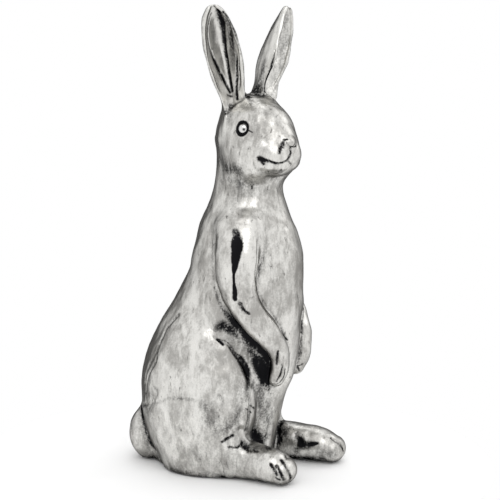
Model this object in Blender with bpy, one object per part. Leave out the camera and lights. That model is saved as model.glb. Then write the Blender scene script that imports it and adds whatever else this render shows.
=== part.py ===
"""Seated hare ornament: hollow castings joined by dowels, a neck sleeve and a screwed base plate.

Lengths are metres. The hare faces -Y, its right side is -X, and +Z is up.
Rows of a limb hold x, y, z of a section's centre, its half-width along X and its half-depth.
"""

import math

import bmesh
import bpy
import numpy as np
import openvdb
from mathutils import Matrix, Vector

UNDERSIDE = 0.0013
WALL = 0.0045
GAP = 0.0003
NECK_SEAM = 0.243
NECK_CENTRE = (0.0, -0.0145)
HEAD_TURN = math.radians(-28)
NECK_OVERLAP = 0.0330
NECK_SINK = 0.0170
SKIN_MARGIN = 0.0100
CORE_MARGIN = 0.0040

TRUNK_ROWS = (
    (-0.010, 0.0180, 0.0500, 0.0400),
    (0.012, 0.0202, 0.0550, 0.0400),
    (0.025, 0.0225, 0.0602, 0.0400),
    (0.040, 0.0220, 0.0630, 0.0400),
    (0.055, 0.0210, 0.0650, 0.0405),
    (0.070, 0.0187, 0.0675, 0.0415),
    (0.085, 0.0143, 0.0695, 0.0425),
    (0.100, 0.0105, 0.0688, 0.0435),
    (0.115, 0.0061, 0.0661, 0.0445),
    (0.130, 0.0016, 0.0625, 0.0450),
    (0.145, -0.0041, 0.0584, 0.0450),
    (0.160, -0.0084, 0.0541, 0.0430),
    (0.175, -0.0121, 0.0502, 0.0410),
    (0.189, -0.0135, 0.0488, 0.0395),
    (0.203, -0.0135, 0.0453, 0.0370),
    (0.217, -0.0131, 0.0405, 0.0335),
    (0.231, -0.0135, 0.0345, 0.0300),
    (0.245, -0.0145, 0.0300, 0.0270),
    (0.262, -0.0145, 0.0272, 0.0240),
    (0.280, -0.0140, 0.0200, 0.0170),
)
HAUNCH_LIFT = 0.0040
HAUNCH_RADII = (0.0310, 0.0500, 0.0610)
HAUNCH_CENTRE = (0.0325, 0.0160, HAUNCH_LIFT + HAUNCH_RADII[2])
HAUNCH_CREASE = 0.0040
HAUNCH_FLOW = 0.0260
FLOW_START_Y = -0.0300
FLOW_END_Y = 0.0200

SKULL_CENTRE = (0.0, -0.0070, 0.2905)
SKULL_RADII = (0.0290, 0.0365, 0.0345)
BROW_CENTRE = (0.0, -0.0260, 0.2955)
BROW_RADII = (0.0190, 0.0192, 0.0190)
MUZZLE_CENTRE = (0.0, -0.0365, 0.2780)
MUZZLE_RADII = (0.0195, 0.0185, 0.0180)
CHEEK_CENTRE = (0.0150, -0.0190, 0.2750)
CHEEK_RADII = (0.0150, 0.0210, 0.0190)
LIP_CENTRE = (0.0080, -0.0455, 0.2790)
LIP_RADII = (0.0088, 0.0085, 0.0080)
NOSE_CENTRE = (0.0, -0.0512, 0.2890)
NOSE_RADII = (0.0070, 0.0056, 0.0054)
EYE_POINT = (0.0248, -0.0228, 0.3005)
EYE_RADIUS = 0.00365
EYE_DEPTH = 0.0012
EYE_CLEARANCE = 0.0003
LID_RADIUS = 0.0056
LID_THICKNESS = 0.0011
LID_COUNT = 24

EAR_ROOT = (0.0125, 0.0035, 0.3150)
EAR_TIPS = {-1: (-0.0412, -0.0037, 0.4018), 1: (0.0402, -0.0037, 0.3990)}
EAR_TAIL = 0.22
EAR_OUTWARD = {-1: math.radians(35), 1: math.radians(27)}
EAR_CUP = {-1: 0.0160, 1: 0.0200}
EAR_WIDTHS = (
    (-0.22, 0.0060),
    (-0.10, 0.0078),
    (0.00, 0.0090),
    (0.12, 0.0106),
    (0.35, 0.0136),
    (0.55, 0.0150),
    (0.75, 0.0136),
    (0.90, 0.0098),
    (1.00, 0.0036),
)
EAR_CUP_SHARES = (
    (-0.22, 0.10),
    (0.00, 0.28),
    (0.20, 0.58),
    (0.45, 0.95),
    (0.72, 0.70),
    (0.92, 0.30),
    (1.00, 0.12),
)
EAR_THICKNESS = 0.0036
EAR_MARGIN = 0.0220
EAR_DOWEL_START = 0.0020
EAR_DOWEL_END = 0.0140
EAR_ROOT_THICKNESS = 0.0130

FORELEG_ROWS = (
    (0.0330, -0.0190, 0.2160, 0.0090, 0.0130),
    (0.0385, -0.0205, 0.2040, 0.0115, 0.0175),
    (0.0405, -0.0209, 0.1900, 0.0120, 0.0190),
    (0.0410, -0.0206, 0.1760, 0.0120, 0.0175),
    (0.0410, -0.0232, 0.1640, 0.0120, 0.0155),
    (0.0400, -0.0280, 0.1530, 0.0120, 0.0140),
    (0.0380, -0.0345, 0.1425, 0.0118, 0.0130),
    (0.0345, -0.0417, 0.1331, 0.0115, 0.0122),
    (0.0310, -0.0475, 0.1242, 0.0108, 0.0110),
    (0.0280, -0.0516, 0.1165, 0.0100, 0.0098),
    (0.0255, -0.0535, 0.1080, 0.0095, 0.0086),
    (0.0240, -0.0532, 0.0980, 0.0095, 0.0080),
    (0.0225, -0.0497, 0.0885, 0.0090, 0.0070),
)
FOOT_ROWS = (
    (0.0340, 0.0300, 0.0110, 0.0120, 0.0110),
    (0.0350, 0.0050, 0.0130, 0.0150, 0.0130),
    (0.0355, -0.0220, 0.0165, 0.0155, 0.0165),
    (0.0365, -0.0400, 0.0160, 0.0160, 0.0158),
    (0.0380, -0.0540, 0.0145, 0.0160, 0.0145),
    (0.0390, -0.0635, 0.0120, 0.0150, 0.0118),
)
FAR_FOOT_REACH = 0.0160
FOOT_END = 0.0105
LIMB_MARGIN = 0.0060
FORELEG_END = 0.0080
SHOULDER_ROW = 2
SHOULDER_DOWEL_IN = 0.0095
SHOULDER_DOWEL_OUT = 0.0065
TAIL_CENTRE = (-0.0030, 0.0755, 0.0230)
TAIL_RADII = (0.0280, 0.0205, 0.0260)

GROOVE = 0.0009
MOUTH_POINTS = (
    (-0.0225, -0.0405, 0.2765),
    (-0.0190, -0.0445, 0.2755),
    (-0.0150, -0.0490, 0.2735),
    (-0.0100, -0.0525, 0.2735),
    (-0.0050, -0.0550, 0.2745),
    (0.0000, -0.0555, 0.2757),
    (0.0050, -0.0550, 0.2745),
    (0.0100, -0.0525, 0.2735),
    (0.0150, -0.0490, 0.2735),
    (0.0190, -0.0445, 0.2755),
    (0.0225, -0.0405, 0.2765),
)
PHILTRUM_POINTS = ((0.0, -0.0555, 0.2765), (0.0, -0.0560, 0.2810), (0.0, -0.0555, 0.2855))
NOSTRIL_POINTS = (
    (0.0045, -0.0515, 0.2925),
    (0.0075, -0.0505, 0.2915),
    (0.0095, -0.0515, 0.2880),
    (0.0115, -0.0520, 0.2850),
    (0.0130, -0.0520, 0.2825),
)
PAW_GROOVES = (-0.0032, 0.0032)
TOE_GROOVES = (-0.0072, 0.0, 0.0072)

DOWEL_RADIUS = 0.0020
EAR_DOWEL_RADIUS = 0.0016
DOWEL_CLEARANCE = 0.0003
SLEEVE_RADIUS = 0.0150
SLEEVE_WALL = 0.0025
SLEEVE_HALF_LENGTH = 0.0170
SLEEVE_CLEARANCE = 0.0003

PLATE_CENTRE_Y = 0.0250
PLATE_HALF_X = 0.0170
PLATE_HALF_Y = 0.0310
PLATE_CORNER = 0.0060
PLATE_THICKNESS = 0.0022
PLATE_SINK = 0.0002
MOUTH_HALF_X = 0.0120
MOUTH_HALF_Y = 0.0200
FLOOR_THICKNESS = 0.0060
FLOOR_DISH = 1.6
SCREW_REACH = 0.0255
SCREW_RADIUS = 0.0015
SCREW_HEAD_RADIUS = 0.0030
SCREW_HEAD_HEIGHT = 0.0014
SCREW_LENGTH = 0.0110
SCREW_CLEARANCE = 0.0003
BOSS_RADIUS = 0.0060
BOSS_TOP = 0.0240

PAD_RADIUS = 0.0060
PAD_THICKNESS = 0.0010
PAD_PLACES = {
    "felt_pad_front_right": (-0.0370, -0.0450),
    "felt_pad_front_left": (0.0370, -0.0530),
    "felt_pad_rear_right": (-0.0280, 0.0450),
    "felt_pad_rear_left": (0.0280, 0.0450),
}

SIDES = (("right", -1), ("left", 1))


def clear_scene():
    """Removes everything, so that a second run gives the same scene."""
    for collection in (bpy.data.objects, bpy.data.meshes, bpy.data.materials, bpy.data.cameras, bpy.data.lights):
        for item in list(collection):
            collection.remove(item)
    for collection in list(bpy.data.collections):
        bpy.data.collections.remove(collection)
    bpy.context.scene.unit_settings.scale_length = 1.0


def material(name, colour, metallic, roughness):
    """A plain material of one slot."""
    made = bpy.data.materials.new(name)
    made.use_nodes = True
    shader = made.node_tree.nodes["Principled BSDF"]
    shader.inputs["Base Color"].default_value = (*colour, 1.0)
    shader.inputs["Metallic"].default_value = metallic
    shader.inputs["Roughness"].default_value = roughness
    made.diffuse_color = (*colour, 1.0)
    return made


def smooth_union(first, second, blend):
    """Joins two distance fields with a fillet of about this radius."""
    share = np.clip(0.5 + 0.5 * (second - first) / blend, 0, 1)
    return second * (1 - share) + first * share - blend * share * (1 - share)


def smooth_cut(first, second, blend):
    """The part that both fields hold, with its edge rounded."""
    return -smooth_union(-first, -second, blend)


def curved(rows, steps=4):
    """Rows of a chain filled in along a Catmull-Rom curve."""
    rows = np.asarray(rows, float)
    ends = np.vstack([2 * rows[0] - rows[1], rows, 2 * rows[-1] - rows[-2]])
    filled = []
    for before, start, stop, after in zip(ends[:-3], ends[1:-2], ends[2:-1], ends[3:]):
        for step in range(steps):
            t = step / steps
            line = 2 * start + (stop - before) * t
            bend = (2 * before - 5 * start + 4 * stop - after) * t**2
            twist = (3 * start - before - 3 * stop + after) * t**3
            filled.append(0.5 * (line + bend + twist))
    filled.append(rows[-1])
    return np.array(filled)


def smoothstep(values, low, high):
    """0 below low, 1 above high, and a smooth rise between them."""
    share = np.clip((values - low) / (high - low), 0, 1)
    return share * share * (3 - 2 * share)


def ellipsoid(points, centre, radii):
    """Distance to an ellipsoid whose axes lie along X, Y and Z."""
    radii = np.asarray(radii)
    offset = points - np.asarray(centre)
    inner = np.linalg.norm(offset / radii, axis=1) + 1e-9
    slope = np.linalg.norm(offset / radii**2, axis=1) + 1e-9
    return inner * (inner - 1) / slope


def limb(points, rows, cap):
    """Distance to a chain of elliptical sections, rounded at both ends by cap."""
    best = np.full(len(points), 1.0)
    rows = curved(rows)
    for start, stop in zip(rows[:-1], rows[1:]):
        axis = stop[:3] - start[:3]
        length = np.linalg.norm(axis)
        axis = axis / length
        across = np.array([1.0, 0, 0]) - axis[0] * axis
        across /= np.linalg.norm(across)
        deep = np.cross(axis, across)
        offset = points - start[:3]
        along = offset @ axis
        share = np.clip(along / length, 0, 1)
        width = start[3] + (stop[3] - start[3]) * share
        depth = start[4] + (stop[4] - start[4]) * share
        parts = (offset @ across, width), (offset @ deep, depth), (along - share * length, cap)
        inner = np.sqrt(sum((value / radius) ** 2 for value, radius in parts)) + 1e-9
        slope = np.sqrt(sum((value / radius**2) ** 2 for value, radius in parts)) + 1e-9
        best = np.minimum(best, inner * (inner - 1) / slope)
    return best


def trunk(points):
    """Distance to the upright body and neck, whose sections are ellipses."""
    rows = curved(TRUNK_ROWS, 6)
    height = np.clip(points[:, 2], rows[0, 0], rows[-1, 0])
    centre, depth, width = (np.interp(height, rows[:, 0], rows[:, column]) for column in (1, 2, 3))
    flat = np.stack([points[:, 0] / width, (points[:, 1] - centre) / depth], axis=1)
    inner = np.linalg.norm(flat, axis=1) + 1e-9
    slope = np.sqrt((flat[:, 0] / width) ** 2 + (flat[:, 1] / depth) ** 2) + 1e-9
    side = inner * (inner - 1) / slope
    ends = np.maximum(points[:, 2] - rows[-1, 0], rows[0, 0] - points[:, 2])
    return np.maximum(side, ends)


def mirrored(centre, side):
    """This centre on the right (-1) or the left (1)."""
    return (side * centre[0], centre[1], centre[2])


def body_field(points):
    """Trunk and haunches, which are creased in front and flow in behind."""
    field = trunk(points)
    blend = HAUNCH_CREASE + (HAUNCH_FLOW - HAUNCH_CREASE) * smoothstep(points[:, 1], FLOW_START_Y, FLOW_END_Y)
    for _, side in SIDES:
        haunch = ellipsoid(points, mirrored(HAUNCH_CENTRE, side), HAUNCH_RADII)
        field = smooth_union(field, haunch, blend)
    return field


def trunk_box(low, high, margin):
    """A box round the trunk and haunches between two heights."""
    rows = np.array(TRUNK_ROWS)
    wide = max(rows[:, 3].max(), HAUNCH_CENTRE[0] + HAUNCH_RADII[0]) + margin
    front = min((rows[:, 1] - rows[:, 2]).min(), HAUNCH_CENTRE[1] - HAUNCH_RADII[1]) - margin
    back = max((rows[:, 1] + rows[:, 2]).max(), HAUNCH_CENTRE[1] + HAUNCH_RADII[1]) + margin
    return (-wide, front, low), (wide, back, high)


def head_matrix():
    """From the head's own space to the hare's: a turn about the neck."""
    return Matrix.Translation((*NECK_CENTRE, 0)) @ Matrix.Rotation(HEAD_TURN, 4, "Z")


def to_head(points):
    """Points of the hare's space in the head's own."""
    turn = np.array(head_matrix().to_3x3())
    return (points - np.array([*NECK_CENTRE, 0])) @ turn


def head_field(points):
    """Neck, skull, brow, muzzle, cheeks, lips and nose."""
    local = to_head(points)
    skull = ellipsoid(local, SKULL_CENTRE, SKULL_RADII)
    skull = smooth_union(skull, ellipsoid(local, BROW_CENTRE, BROW_RADII), 0.012)
    skull = smooth_union(skull, ellipsoid(local, MUZZLE_CENTRE, MUZZLE_RADII), 0.014)
    for _, side in SIDES:
        cheek = ellipsoid(local, mirrored(CHEEK_CENTRE, side), CHEEK_RADII)
        skull = smooth_union(skull, cheek, 0.010)
        skull = smooth_union(skull, ellipsoid(local, mirrored(LIP_CENTRE, side), LIP_RADII), 0.004)
    skull = smooth_union(skull, ellipsoid(local, NOSE_CENTRE, NOSE_RADII), 0.003)
    return smooth_union(trunk(points), skull, 0.014)


def head_box(low, margin):
    """A box round the turned head, above a height."""
    front = MUZZLE_RADII[1] - MUZZLE_CENTRE[1]
    wide = max(SKULL_RADII[0], front * abs(math.sin(HEAD_TURN)) + MUZZLE_RADII[0]) + margin
    back = SKULL_CENTRE[1] + SKULL_RADII[1]
    top = SKULL_CENTRE[2] + SKULL_RADII[2] + margin
    return (-wide, NECK_CENTRE[1] - front - margin, low), (wide, NECK_CENTRE[1] + back + margin, top)


def ear_axes(side):
    """The ear's root, its length and its axes: along, across and through."""
    root = np.array(mirrored(EAR_ROOT, side))
    along = np.array(EAR_TIPS[side]) - root
    length = np.linalg.norm(along)
    along /= length
    turn = EAR_OUTWARD[side]
    facing = np.array([side * math.sin(turn), -math.cos(turn), 0.0])
    through = facing - facing @ along * along
    through /= np.linalg.norm(through)
    return root, length, along, np.cross(through, along), through


def ear_cup(share, side):
    """How deep the ear is cupped at this share of its length."""
    rows = curved(EAR_CUP_SHARES, 8)
    return EAR_CUP[side] * np.interp(share, rows[:, 0], rows[:, 1])


def ear_place(share, side):
    """The point in the middle of the ear's wall at this share of its length, in the hare's space."""
    root, length, along, _, through = ear_axes(side)
    place = root + along * length * share - through * 0.56 * ear_cup(share, side)
    return head_matrix() @ Vector(place)


def ear_field(points, side):
    """A leaf, cupped into a trough that opens outwards, and thick at its root."""
    root, length, along, across, through = ear_axes(side)
    offset = to_head(points) - root
    share = offset @ along / length
    wide = offset @ across
    rows = curved(EAR_WIDTHS, 8)
    half = np.interp(share, rows[:, 0], rows[:, 1])
    cup = ear_cup(share, side)
    place = np.clip(wide / half, -1.15, 1.15)
    soft = np.sqrt(place**2 + 0.01)
    middle = cup * (0.6 * place**2 + 0.4 * soft - 0.6)
    steep = cup / half * (1.2 * place + 0.4 * place / soft)
    thin = EAR_THICKNESS / 2
    thick = thin + (EAR_ROOT_THICKNESS / 2 - thin) * (1 - smoothstep(share, -0.05, 0.30))
    sheet = np.abs(offset @ through - middle) / np.sqrt(1 + steep**2) - thick
    outline = smooth_cut(sheet, np.abs(wide) - half, 0.002)
    return smooth_cut(outline, np.maximum((share - 1), -(share + EAR_TAIL)) * length, 0.003)


def foreleg_field(points, side):
    """Upper arm, forearm and paw."""
    return limb(points, foreleg_rows(side), FORELEG_END)


def foreleg_rows(side):
    """The foreleg's rows on one side."""
    return np.array([(side * row[0], *row[1:]) for row in FORELEG_ROWS])


def limb_box(rows):
    """A box round a chain of sections."""
    wide = rows[:, 3:].max() + LIMB_MARGIN
    return rows[:, :3].min(axis=0) - wide, rows[:, :3].max(axis=0) + wide


def foot_rows(side):
    """The foot's rows. The left foot is set further forward."""
    rows = np.array(FOOT_ROWS)
    rows[:, 0] *= side
    if side > 0:
        rows[:, 1] -= FAR_FOOT_REACH * np.clip((0.03 - rows[:, 1]) / 0.06, 0, 1)
    return rows


def foot_field(points, side):
    """A long hind foot that lies flat."""
    return limb(points, foot_rows(side), FOOT_END)


def tail_field(points):
    """A short rounded tail."""
    return ellipsoid(points, TAIL_CENTRE, TAIL_RADII)


def gradient(field, points):
    """The slope of a field at these points."""
    step = 2e-4
    slopes = []
    for axis in np.eye(3) * step:
        slopes.append((field(points + axis) - field(points - axis)) / (2 * step))
    return np.stack(slopes, axis=1)


def settle(field, points, rounds=2):
    """Moves points onto the field's surface."""
    for _ in range(rounds):
        slopes = gradient(field, points)
        scale = np.maximum((slopes**2).sum(axis=1), 0.05)
        points = points - (field(points) / scale)[:, None] * slopes
    return points


def surface(field, low, high, step):
    """Points and quads of the field's surface inside this box."""
    low = np.asarray(low, float)
    counts = np.ceil((np.asarray(high) - low) / step).astype(int) + 1
    axes = [start + step * np.arange(count) for start, count in zip(low, counts)]
    places = np.stack(np.meshgrid(*axes, indexing="ij"), axis=-1).reshape(-1, 3)
    blocks = [field(block) for block in np.array_split(places, max(1, len(places) // 200000))]
    grid = openvdb.FloatGrid(background=1.0)
    grid.copyFromArray(np.concatenate(blocks).reshape(counts).astype(np.float32))
    points, quads = grid.convertToQuads(isovalue=0.0)
    return settle(field, points * step + low), quads


def new_object(name, mesh, origin, looks):
    """An object whose mesh, given in the hare's space, has its origin at this point."""
    mesh.transform(Matrix.Translation(-Vector(origin)))
    made = bpy.data.objects.new(name, mesh)
    made.location = origin
    if looks:
        mesh.materials.append(looks)
    bpy.context.scene.collection.objects.link(made)
    return made


def reduced(mesh, triangles):
    """A copy of this mesh collapsed to about this many triangles."""
    holder = bpy.data.objects.new("holder", mesh)
    bpy.context.scene.collection.objects.link(holder)
    collapse = holder.modifiers.new("collapse", "DECIMATE")
    collapse.ratio = min(1.0, triangles / (2 * len(mesh.polygons)))
    graph = bpy.context.evaluated_depsgraph_get()
    made = bpy.data.meshes.new_from_object(holder.evaluated_get(graph))
    bpy.data.objects.remove(holder)
    return made


def skin(name, field, low, high, step, triangles):
    """A closed mesh of the field's surface with about this many triangles."""
    points, quads = surface(field, low, high, step)
    dense = bpy.data.meshes.new(name)
    dense.from_pydata(points.tolist(), [], quads.tolist())
    dense.update()
    made = reduced(dense, triangles)
    bpy.data.meshes.remove(dense)
    made.name = name
    places = np.empty(len(made.vertices) * 3)
    made.vertices.foreach_get("co", places)
    settled = settle(field, places.reshape(-1, 3), 1)
    made.vertices.foreach_set("co", settled.ravel())
    made.shade_smooth()
    made.update()
    return made


def grown(mesh, distance):
    """A copy of this mesh with its surface moved outwards."""
    made = mesh.copy()
    shape = bmesh.new()
    shape.from_mesh(made)
    shape.normal_update()
    for vertex in shape.verts:
        vertex.co += vertex.normal * distance * vertex.calc_shell_factor()
    shape.to_mesh(made)
    shape.free()
    return made


def lathe(profile, start, direction, segments=24):
    """A closed solid turned about an axis. Each profile row holds a distance along it and a radius."""
    shape = bmesh.new()
    rings = []
    for along, radius in profile:
        ring = []
        for index in range(segments):
            angle = 2 * math.pi * index / segments
            ring.append(shape.verts.new((radius * math.cos(angle), radius * math.sin(angle), along)))
        rings.append(ring)
    for lower, upper in zip(rings[:-1], rings[1:]):
        for index in range(segments):
            after = (index + 1) % segments
            shape.faces.new((lower[index], lower[after], upper[after], upper[index]))
    shape.faces.new(rings[0][::-1])
    shape.faces.new(rings[-1])
    turn = Vector((0, 0, 1)).rotation_difference(Vector(direction)).to_matrix().to_4x4()
    shape.transform(Matrix.Translation(start) @ turn)
    mesh = bpy.data.meshes.new("lathe")
    shape.to_mesh(mesh)
    shape.free()
    return mesh


def cylinder(start, end, radius, segments=24):
    """A plain cylinder between two points."""
    start = Vector(start)
    reach = Vector(end) - start
    return lathe(((0, radius), (reach.length, radius)), start, reach.normalized(), segments)


def pin(start, end, radius):
    """A dowel with chamfered ends."""
    start = Vector(start)
    reach = Vector(end) - start
    length = reach.length
    chamfer = radius * 0.25
    profile = ((0, radius - chamfer), (chamfer, radius), (length - chamfer, radius), (length, radius - chamfer))
    return lathe(profile, start, reach.normalized())


def slab(half_x, half_y, corner, low, high, centre_y):
    """An upright plate with rounded corners."""
    shape = bmesh.new()
    rings = []
    for height in (low, high):
        ring = []
        for quarter, (sign_x, sign_y) in enumerate(((1, 1), (-1, 1), (-1, -1), (1, -1))):
            for step in range(7):
                angle = math.pi / 2 * (quarter + step / 6)
                x = sign_x * (half_x - corner) + corner * math.cos(angle)
                y = centre_y + sign_y * (half_y - corner) + corner * math.sin(angle)
                ring.append(shape.verts.new((x, y, height)))
        rings.append(ring)
    count = len(rings[0])
    for index in range(count):
        after = (index + 1) % count
        shape.faces.new((rings[0][index], rings[0][after], rings[1][after], rings[1][index]))
    shape.faces.new(rings[0][::-1])
    shape.faces.new(rings[1])
    mesh = bpy.data.meshes.new("slab")
    shape.to_mesh(mesh)
    shape.free()
    return mesh


def box(low, high):
    """A plain box between two corners."""
    shape = bmesh.new()
    bmesh.ops.create_cube(shape, size=1)
    size = Vector(high) - Vector(low)
    middle = (Vector(high) + Vector(low)) / 2
    shape.transform(Matrix.Translation(middle) @ Matrix.Diagonal((*size, 1)))
    mesh = bpy.data.meshes.new("box")
    shape.to_mesh(mesh)
    shape.free()
    return mesh


def tube(path, radius, sides=6):
    """A closed tube along a path, for cutting a groove."""
    path = [Vector(point) for point in path]
    shape = bmesh.new()
    rings = []
    side = Vector((0.31, 0.17, 0.94))
    for index, point in enumerate(path):
        ahead = (path[min(index + 1, len(path) - 1)] - path[max(index - 1, 0)]).normalized()
        side = (side - side.dot(ahead) * ahead).normalized()
        other = ahead.cross(side)
        ring = []
        for step in range(sides):
            angle = 2 * math.pi * step / sides
            ring.append(shape.verts.new(point + radius * (math.cos(angle) * side + math.sin(angle) * other)))
        rings.append(ring)
    for lower, upper in zip(rings[:-1], rings[1:]):
        for index in range(sides):
            after = (index + 1) % sides
            shape.faces.new((lower[index], lower[after], upper[after], upper[index]))
    shape.faces.new(rings[0][::-1])
    shape.faces.new(rings[-1])
    mesh = bpy.data.meshes.new("tube")
    shape.to_mesh(mesh)
    shape.free()
    return mesh


def helper(name, mesh):
    """A cutter, which isn't rendered."""
    made = new_object(name, mesh, (0, 0, 0), None)
    made.hide_render = True
    made.display_type = "WIRE"
    return made


def combine(target, name, tool, operation="DIFFERENCE"):
    """Adds an exact Boolean to the target."""
    modifier = target.modifiers.new(name, "BOOLEAN")
    modifier.solver = "EXACT"
    modifier.operation = operation
    modifier.object = tool
    return modifier


def cut(target, name, mesh):
    """Cuts a named helper out of the target and returns the Boolean."""
    tool = helper(f"{name}_cutter", mesh)
    return combine(target, name, tool)


def seat(target, name, neighbour):
    """Cuts the target to its neighbour's skin, a gap away."""
    cut(target, f"{name}_seat", grown(neighbour, GAP))


def dowel(name, start, end, hosts, looks, radius=DOWEL_RADIUS):
    """A dowel, and its bore in each host."""
    middle = (Vector(start) + Vector(end)) / 2
    made = new_object(name, pin(start, end, radius), middle, looks)
    reach = (Vector(end) - Vector(start)).normalized() * GAP
    bore = cylinder(Vector(start) - reach, Vector(end) + reach, radius + DOWEL_CLEARANCE)
    tool = helper(f"{name}_bore", bore)
    for host in hosts:
        combine(host, f"{name}_bore", tool)
    return made


def core_field(points):
    """The body's inside, with bosses left for the two screws."""
    reach = points[:, 0] ** 2 + (points[:, 1] - PLATE_CENTRE_Y) ** 2
    floor = UNDERSIDE + FLOOR_THICKNESS + FLOOR_DISH * reach - points[:, 2]
    field = np.maximum(body_field(points) + WALL, floor)
    field = np.maximum(field, points[:, 2] - (NECK_SEAM - SLEEVE_HALF_LENGTH - 0.002))
    for side in (-1, 1):
        flat = points[:, :2] - np.array([0, PLATE_CENTRE_Y + side * SCREW_REACH])
        boss = np.maximum(np.linalg.norm(flat, axis=1) - BOSS_RADIUS, points[:, 2] - BOSS_TOP)
        field = np.maximum(field, -boss)
    return field


def skull_core_field(points):
    """The head's inside."""
    floor = NECK_SEAM + SLEEVE_HALF_LENGTH + 0.002 - points[:, 2]
    return np.maximum(head_field(points) + WALL, floor)


def make_body(looks):
    """The body casting and its outer skin, which the neighbours are cut to."""
    outer = skin(
        "body_skin", body_field, *trunk_box(TRUNK_ROWS[0][0] - LIMB_MARGIN, NECK_SEAM + NECK_OVERLAP, SKIN_MARGIN), 0.0025, 2700
    )
    body = new_object("body_casting", outer.copy(), (0, 0, UNDERSIDE), looks)
    cut(body, "neck_face", box((-0.08, -0.09, NECK_SEAM - GAP / 2), (0.08, 0.11, 0.35)))
    cut(body, "underside", box((-0.08, -0.09, -0.05), (0.08, 0.11, UNDERSIDE)))
    core = skin("body_core", core_field, *trunk_box(-CORE_MARGIN, NECK_SEAM, CORE_MARGIN), 0.0025, 900)
    cut(body, "hollow", core)
    top = UNDERSIDE + PLATE_SINK + PLATE_THICKNESS + GAP
    rebate = slab(PLATE_HALF_X + GAP, PLATE_HALF_Y + GAP, PLATE_CORNER, -0.002, top, PLATE_CENTRE_Y)
    cut(body, "plate_rebate", rebate)
    mouth = slab(MOUTH_HALF_X, MOUTH_HALF_Y, PLATE_CORNER, -0.001, 0.012, PLATE_CENTRE_Y)
    cut(body, "mouth", mouth)
    bore = cylinder(
        (*NECK_CENTRE, NECK_SEAM - SLEEVE_HALF_LENGTH - 0.006),
        (*NECK_CENTRE, NECK_SEAM + 0.01),
        SLEEVE_RADIUS + SLEEVE_CLEARANCE,
        48,
    )
    cut(body, "neck_bore", bore)
    return body, outer


def make_head(looks):
    """The head casting and its outer skin."""
    outer = skin("head_skin", head_field, *head_box(NECK_SEAM - NECK_SINK, SKIN_MARGIN), 0.0018, 2000)
    head = new_object("head_casting", outer.copy(), (*NECK_CENTRE, NECK_SEAM), looks)
    cut(head, "head_neck_face", box((-0.08, -0.10, 0.20), (0.08, 0.08, NECK_SEAM + GAP / 2)))
    core = skin("head_core", skull_core_field, *head_box(NECK_SEAM + SLEEVE_HALF_LENGTH - SKIN_MARGIN, CORE_MARGIN), 0.0022, 500)
    cut(head, "head_hollow", core)
    bore = cylinder(
        (*NECK_CENTRE, NECK_SEAM - 0.01),
        (*NECK_CENTRE, NECK_SEAM + SLEEVE_HALF_LENGTH + 0.006),
        SLEEVE_RADIUS + SLEEVE_CLEARANCE,
        48,
    )
    cut(head, "head_neck_bore", bore)
    return head, outer


def on_head(points):
    """Points given in the head's space, moved onto its surface and into the hare's space."""
    turn = np.array(head_matrix().to_3x3())
    places = np.asarray(points, float) @ turn.T + np.array([*NECK_CENTRE, 0])
    return settle(head_field, places, 4)


def add_face(head, head_skin_looks, eye_looks):
    """Eyes in sockets with raised lids, nostrils, philtrum and mouth."""
    eyes = []
    for name, side in SIDES:
        spot = on_head([mirrored(EYE_POINT, side)])
        normal = gradient(head_field, spot)[0]
        normal /= np.linalg.norm(normal)
        centre = Vector(spot[0] - normal * EYE_DEPTH)
        lid = bpy.data.meshes.new("lid")
        shape = bmesh.new()
        turn = Vector((0, 0, 1)).rotation_difference(Vector(normal)).to_matrix().to_4x4()
        rings = []
        for outer in range(LID_COUNT):
            angle = 2 * math.pi * outer / LID_COUNT
            ring = []
            for inner in range(6):
                tilt = 2 * math.pi * inner / 6
                reach = LID_RADIUS + LID_THICKNESS * math.cos(tilt)
                place = (reach * math.cos(angle), reach * math.sin(angle), LID_THICKNESS * math.sin(tilt))
                ring.append(shape.verts.new(place))
            rings.append(ring)
        for index in range(LID_COUNT):
            here, ahead = rings[index], rings[(index + 1) % LID_COUNT]
            for step in range(6):
                after = (step + 1) % 6
                shape.faces.new((here[step], ahead[step], ahead[after], here[after]))
        shape.transform(Matrix.Translation(Vector(spot[0])) @ turn)
        bmesh.ops.recalc_face_normals(shape, faces=shape.faces)
        shape.to_mesh(lid)
        shape.free()
        combine(head, f"lid_{name}", helper(f"lid_{name}_ring", lid), "UNION")
        ball = bpy.data.meshes.new("ball")
        socket = bpy.data.meshes.new("socket")
        for mesh, radius, fineness in ((ball, EYE_RADIUS, 3), (socket, EYE_RADIUS + EYE_CLEARANCE, 2)):
            shape = bmesh.new()
            bmesh.ops.create_icosphere(shape, subdivisions=fineness, radius=radius)
            shape.transform(Matrix.Translation(centre))
            shape.to_mesh(mesh)
            shape.free()
        ball.shade_smooth()
        cut(head, f"eye_{name}_socket", socket)
        eyes.append(new_object(f"eye_{name}", ball, centre, eye_looks))
        cut(head, f"nostril_{name}", tube(on_head([mirrored(point, side) for point in NOSTRIL_POINTS]), GROOVE))
    cut(head, "mouth_line", tube(on_head(curved(MOUTH_POINTS, 2)), GROOVE))
    cut(head, "philtrum", tube(on_head(PHILTRUM_POINTS), GROOVE * 0.8))
    return eyes


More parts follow.
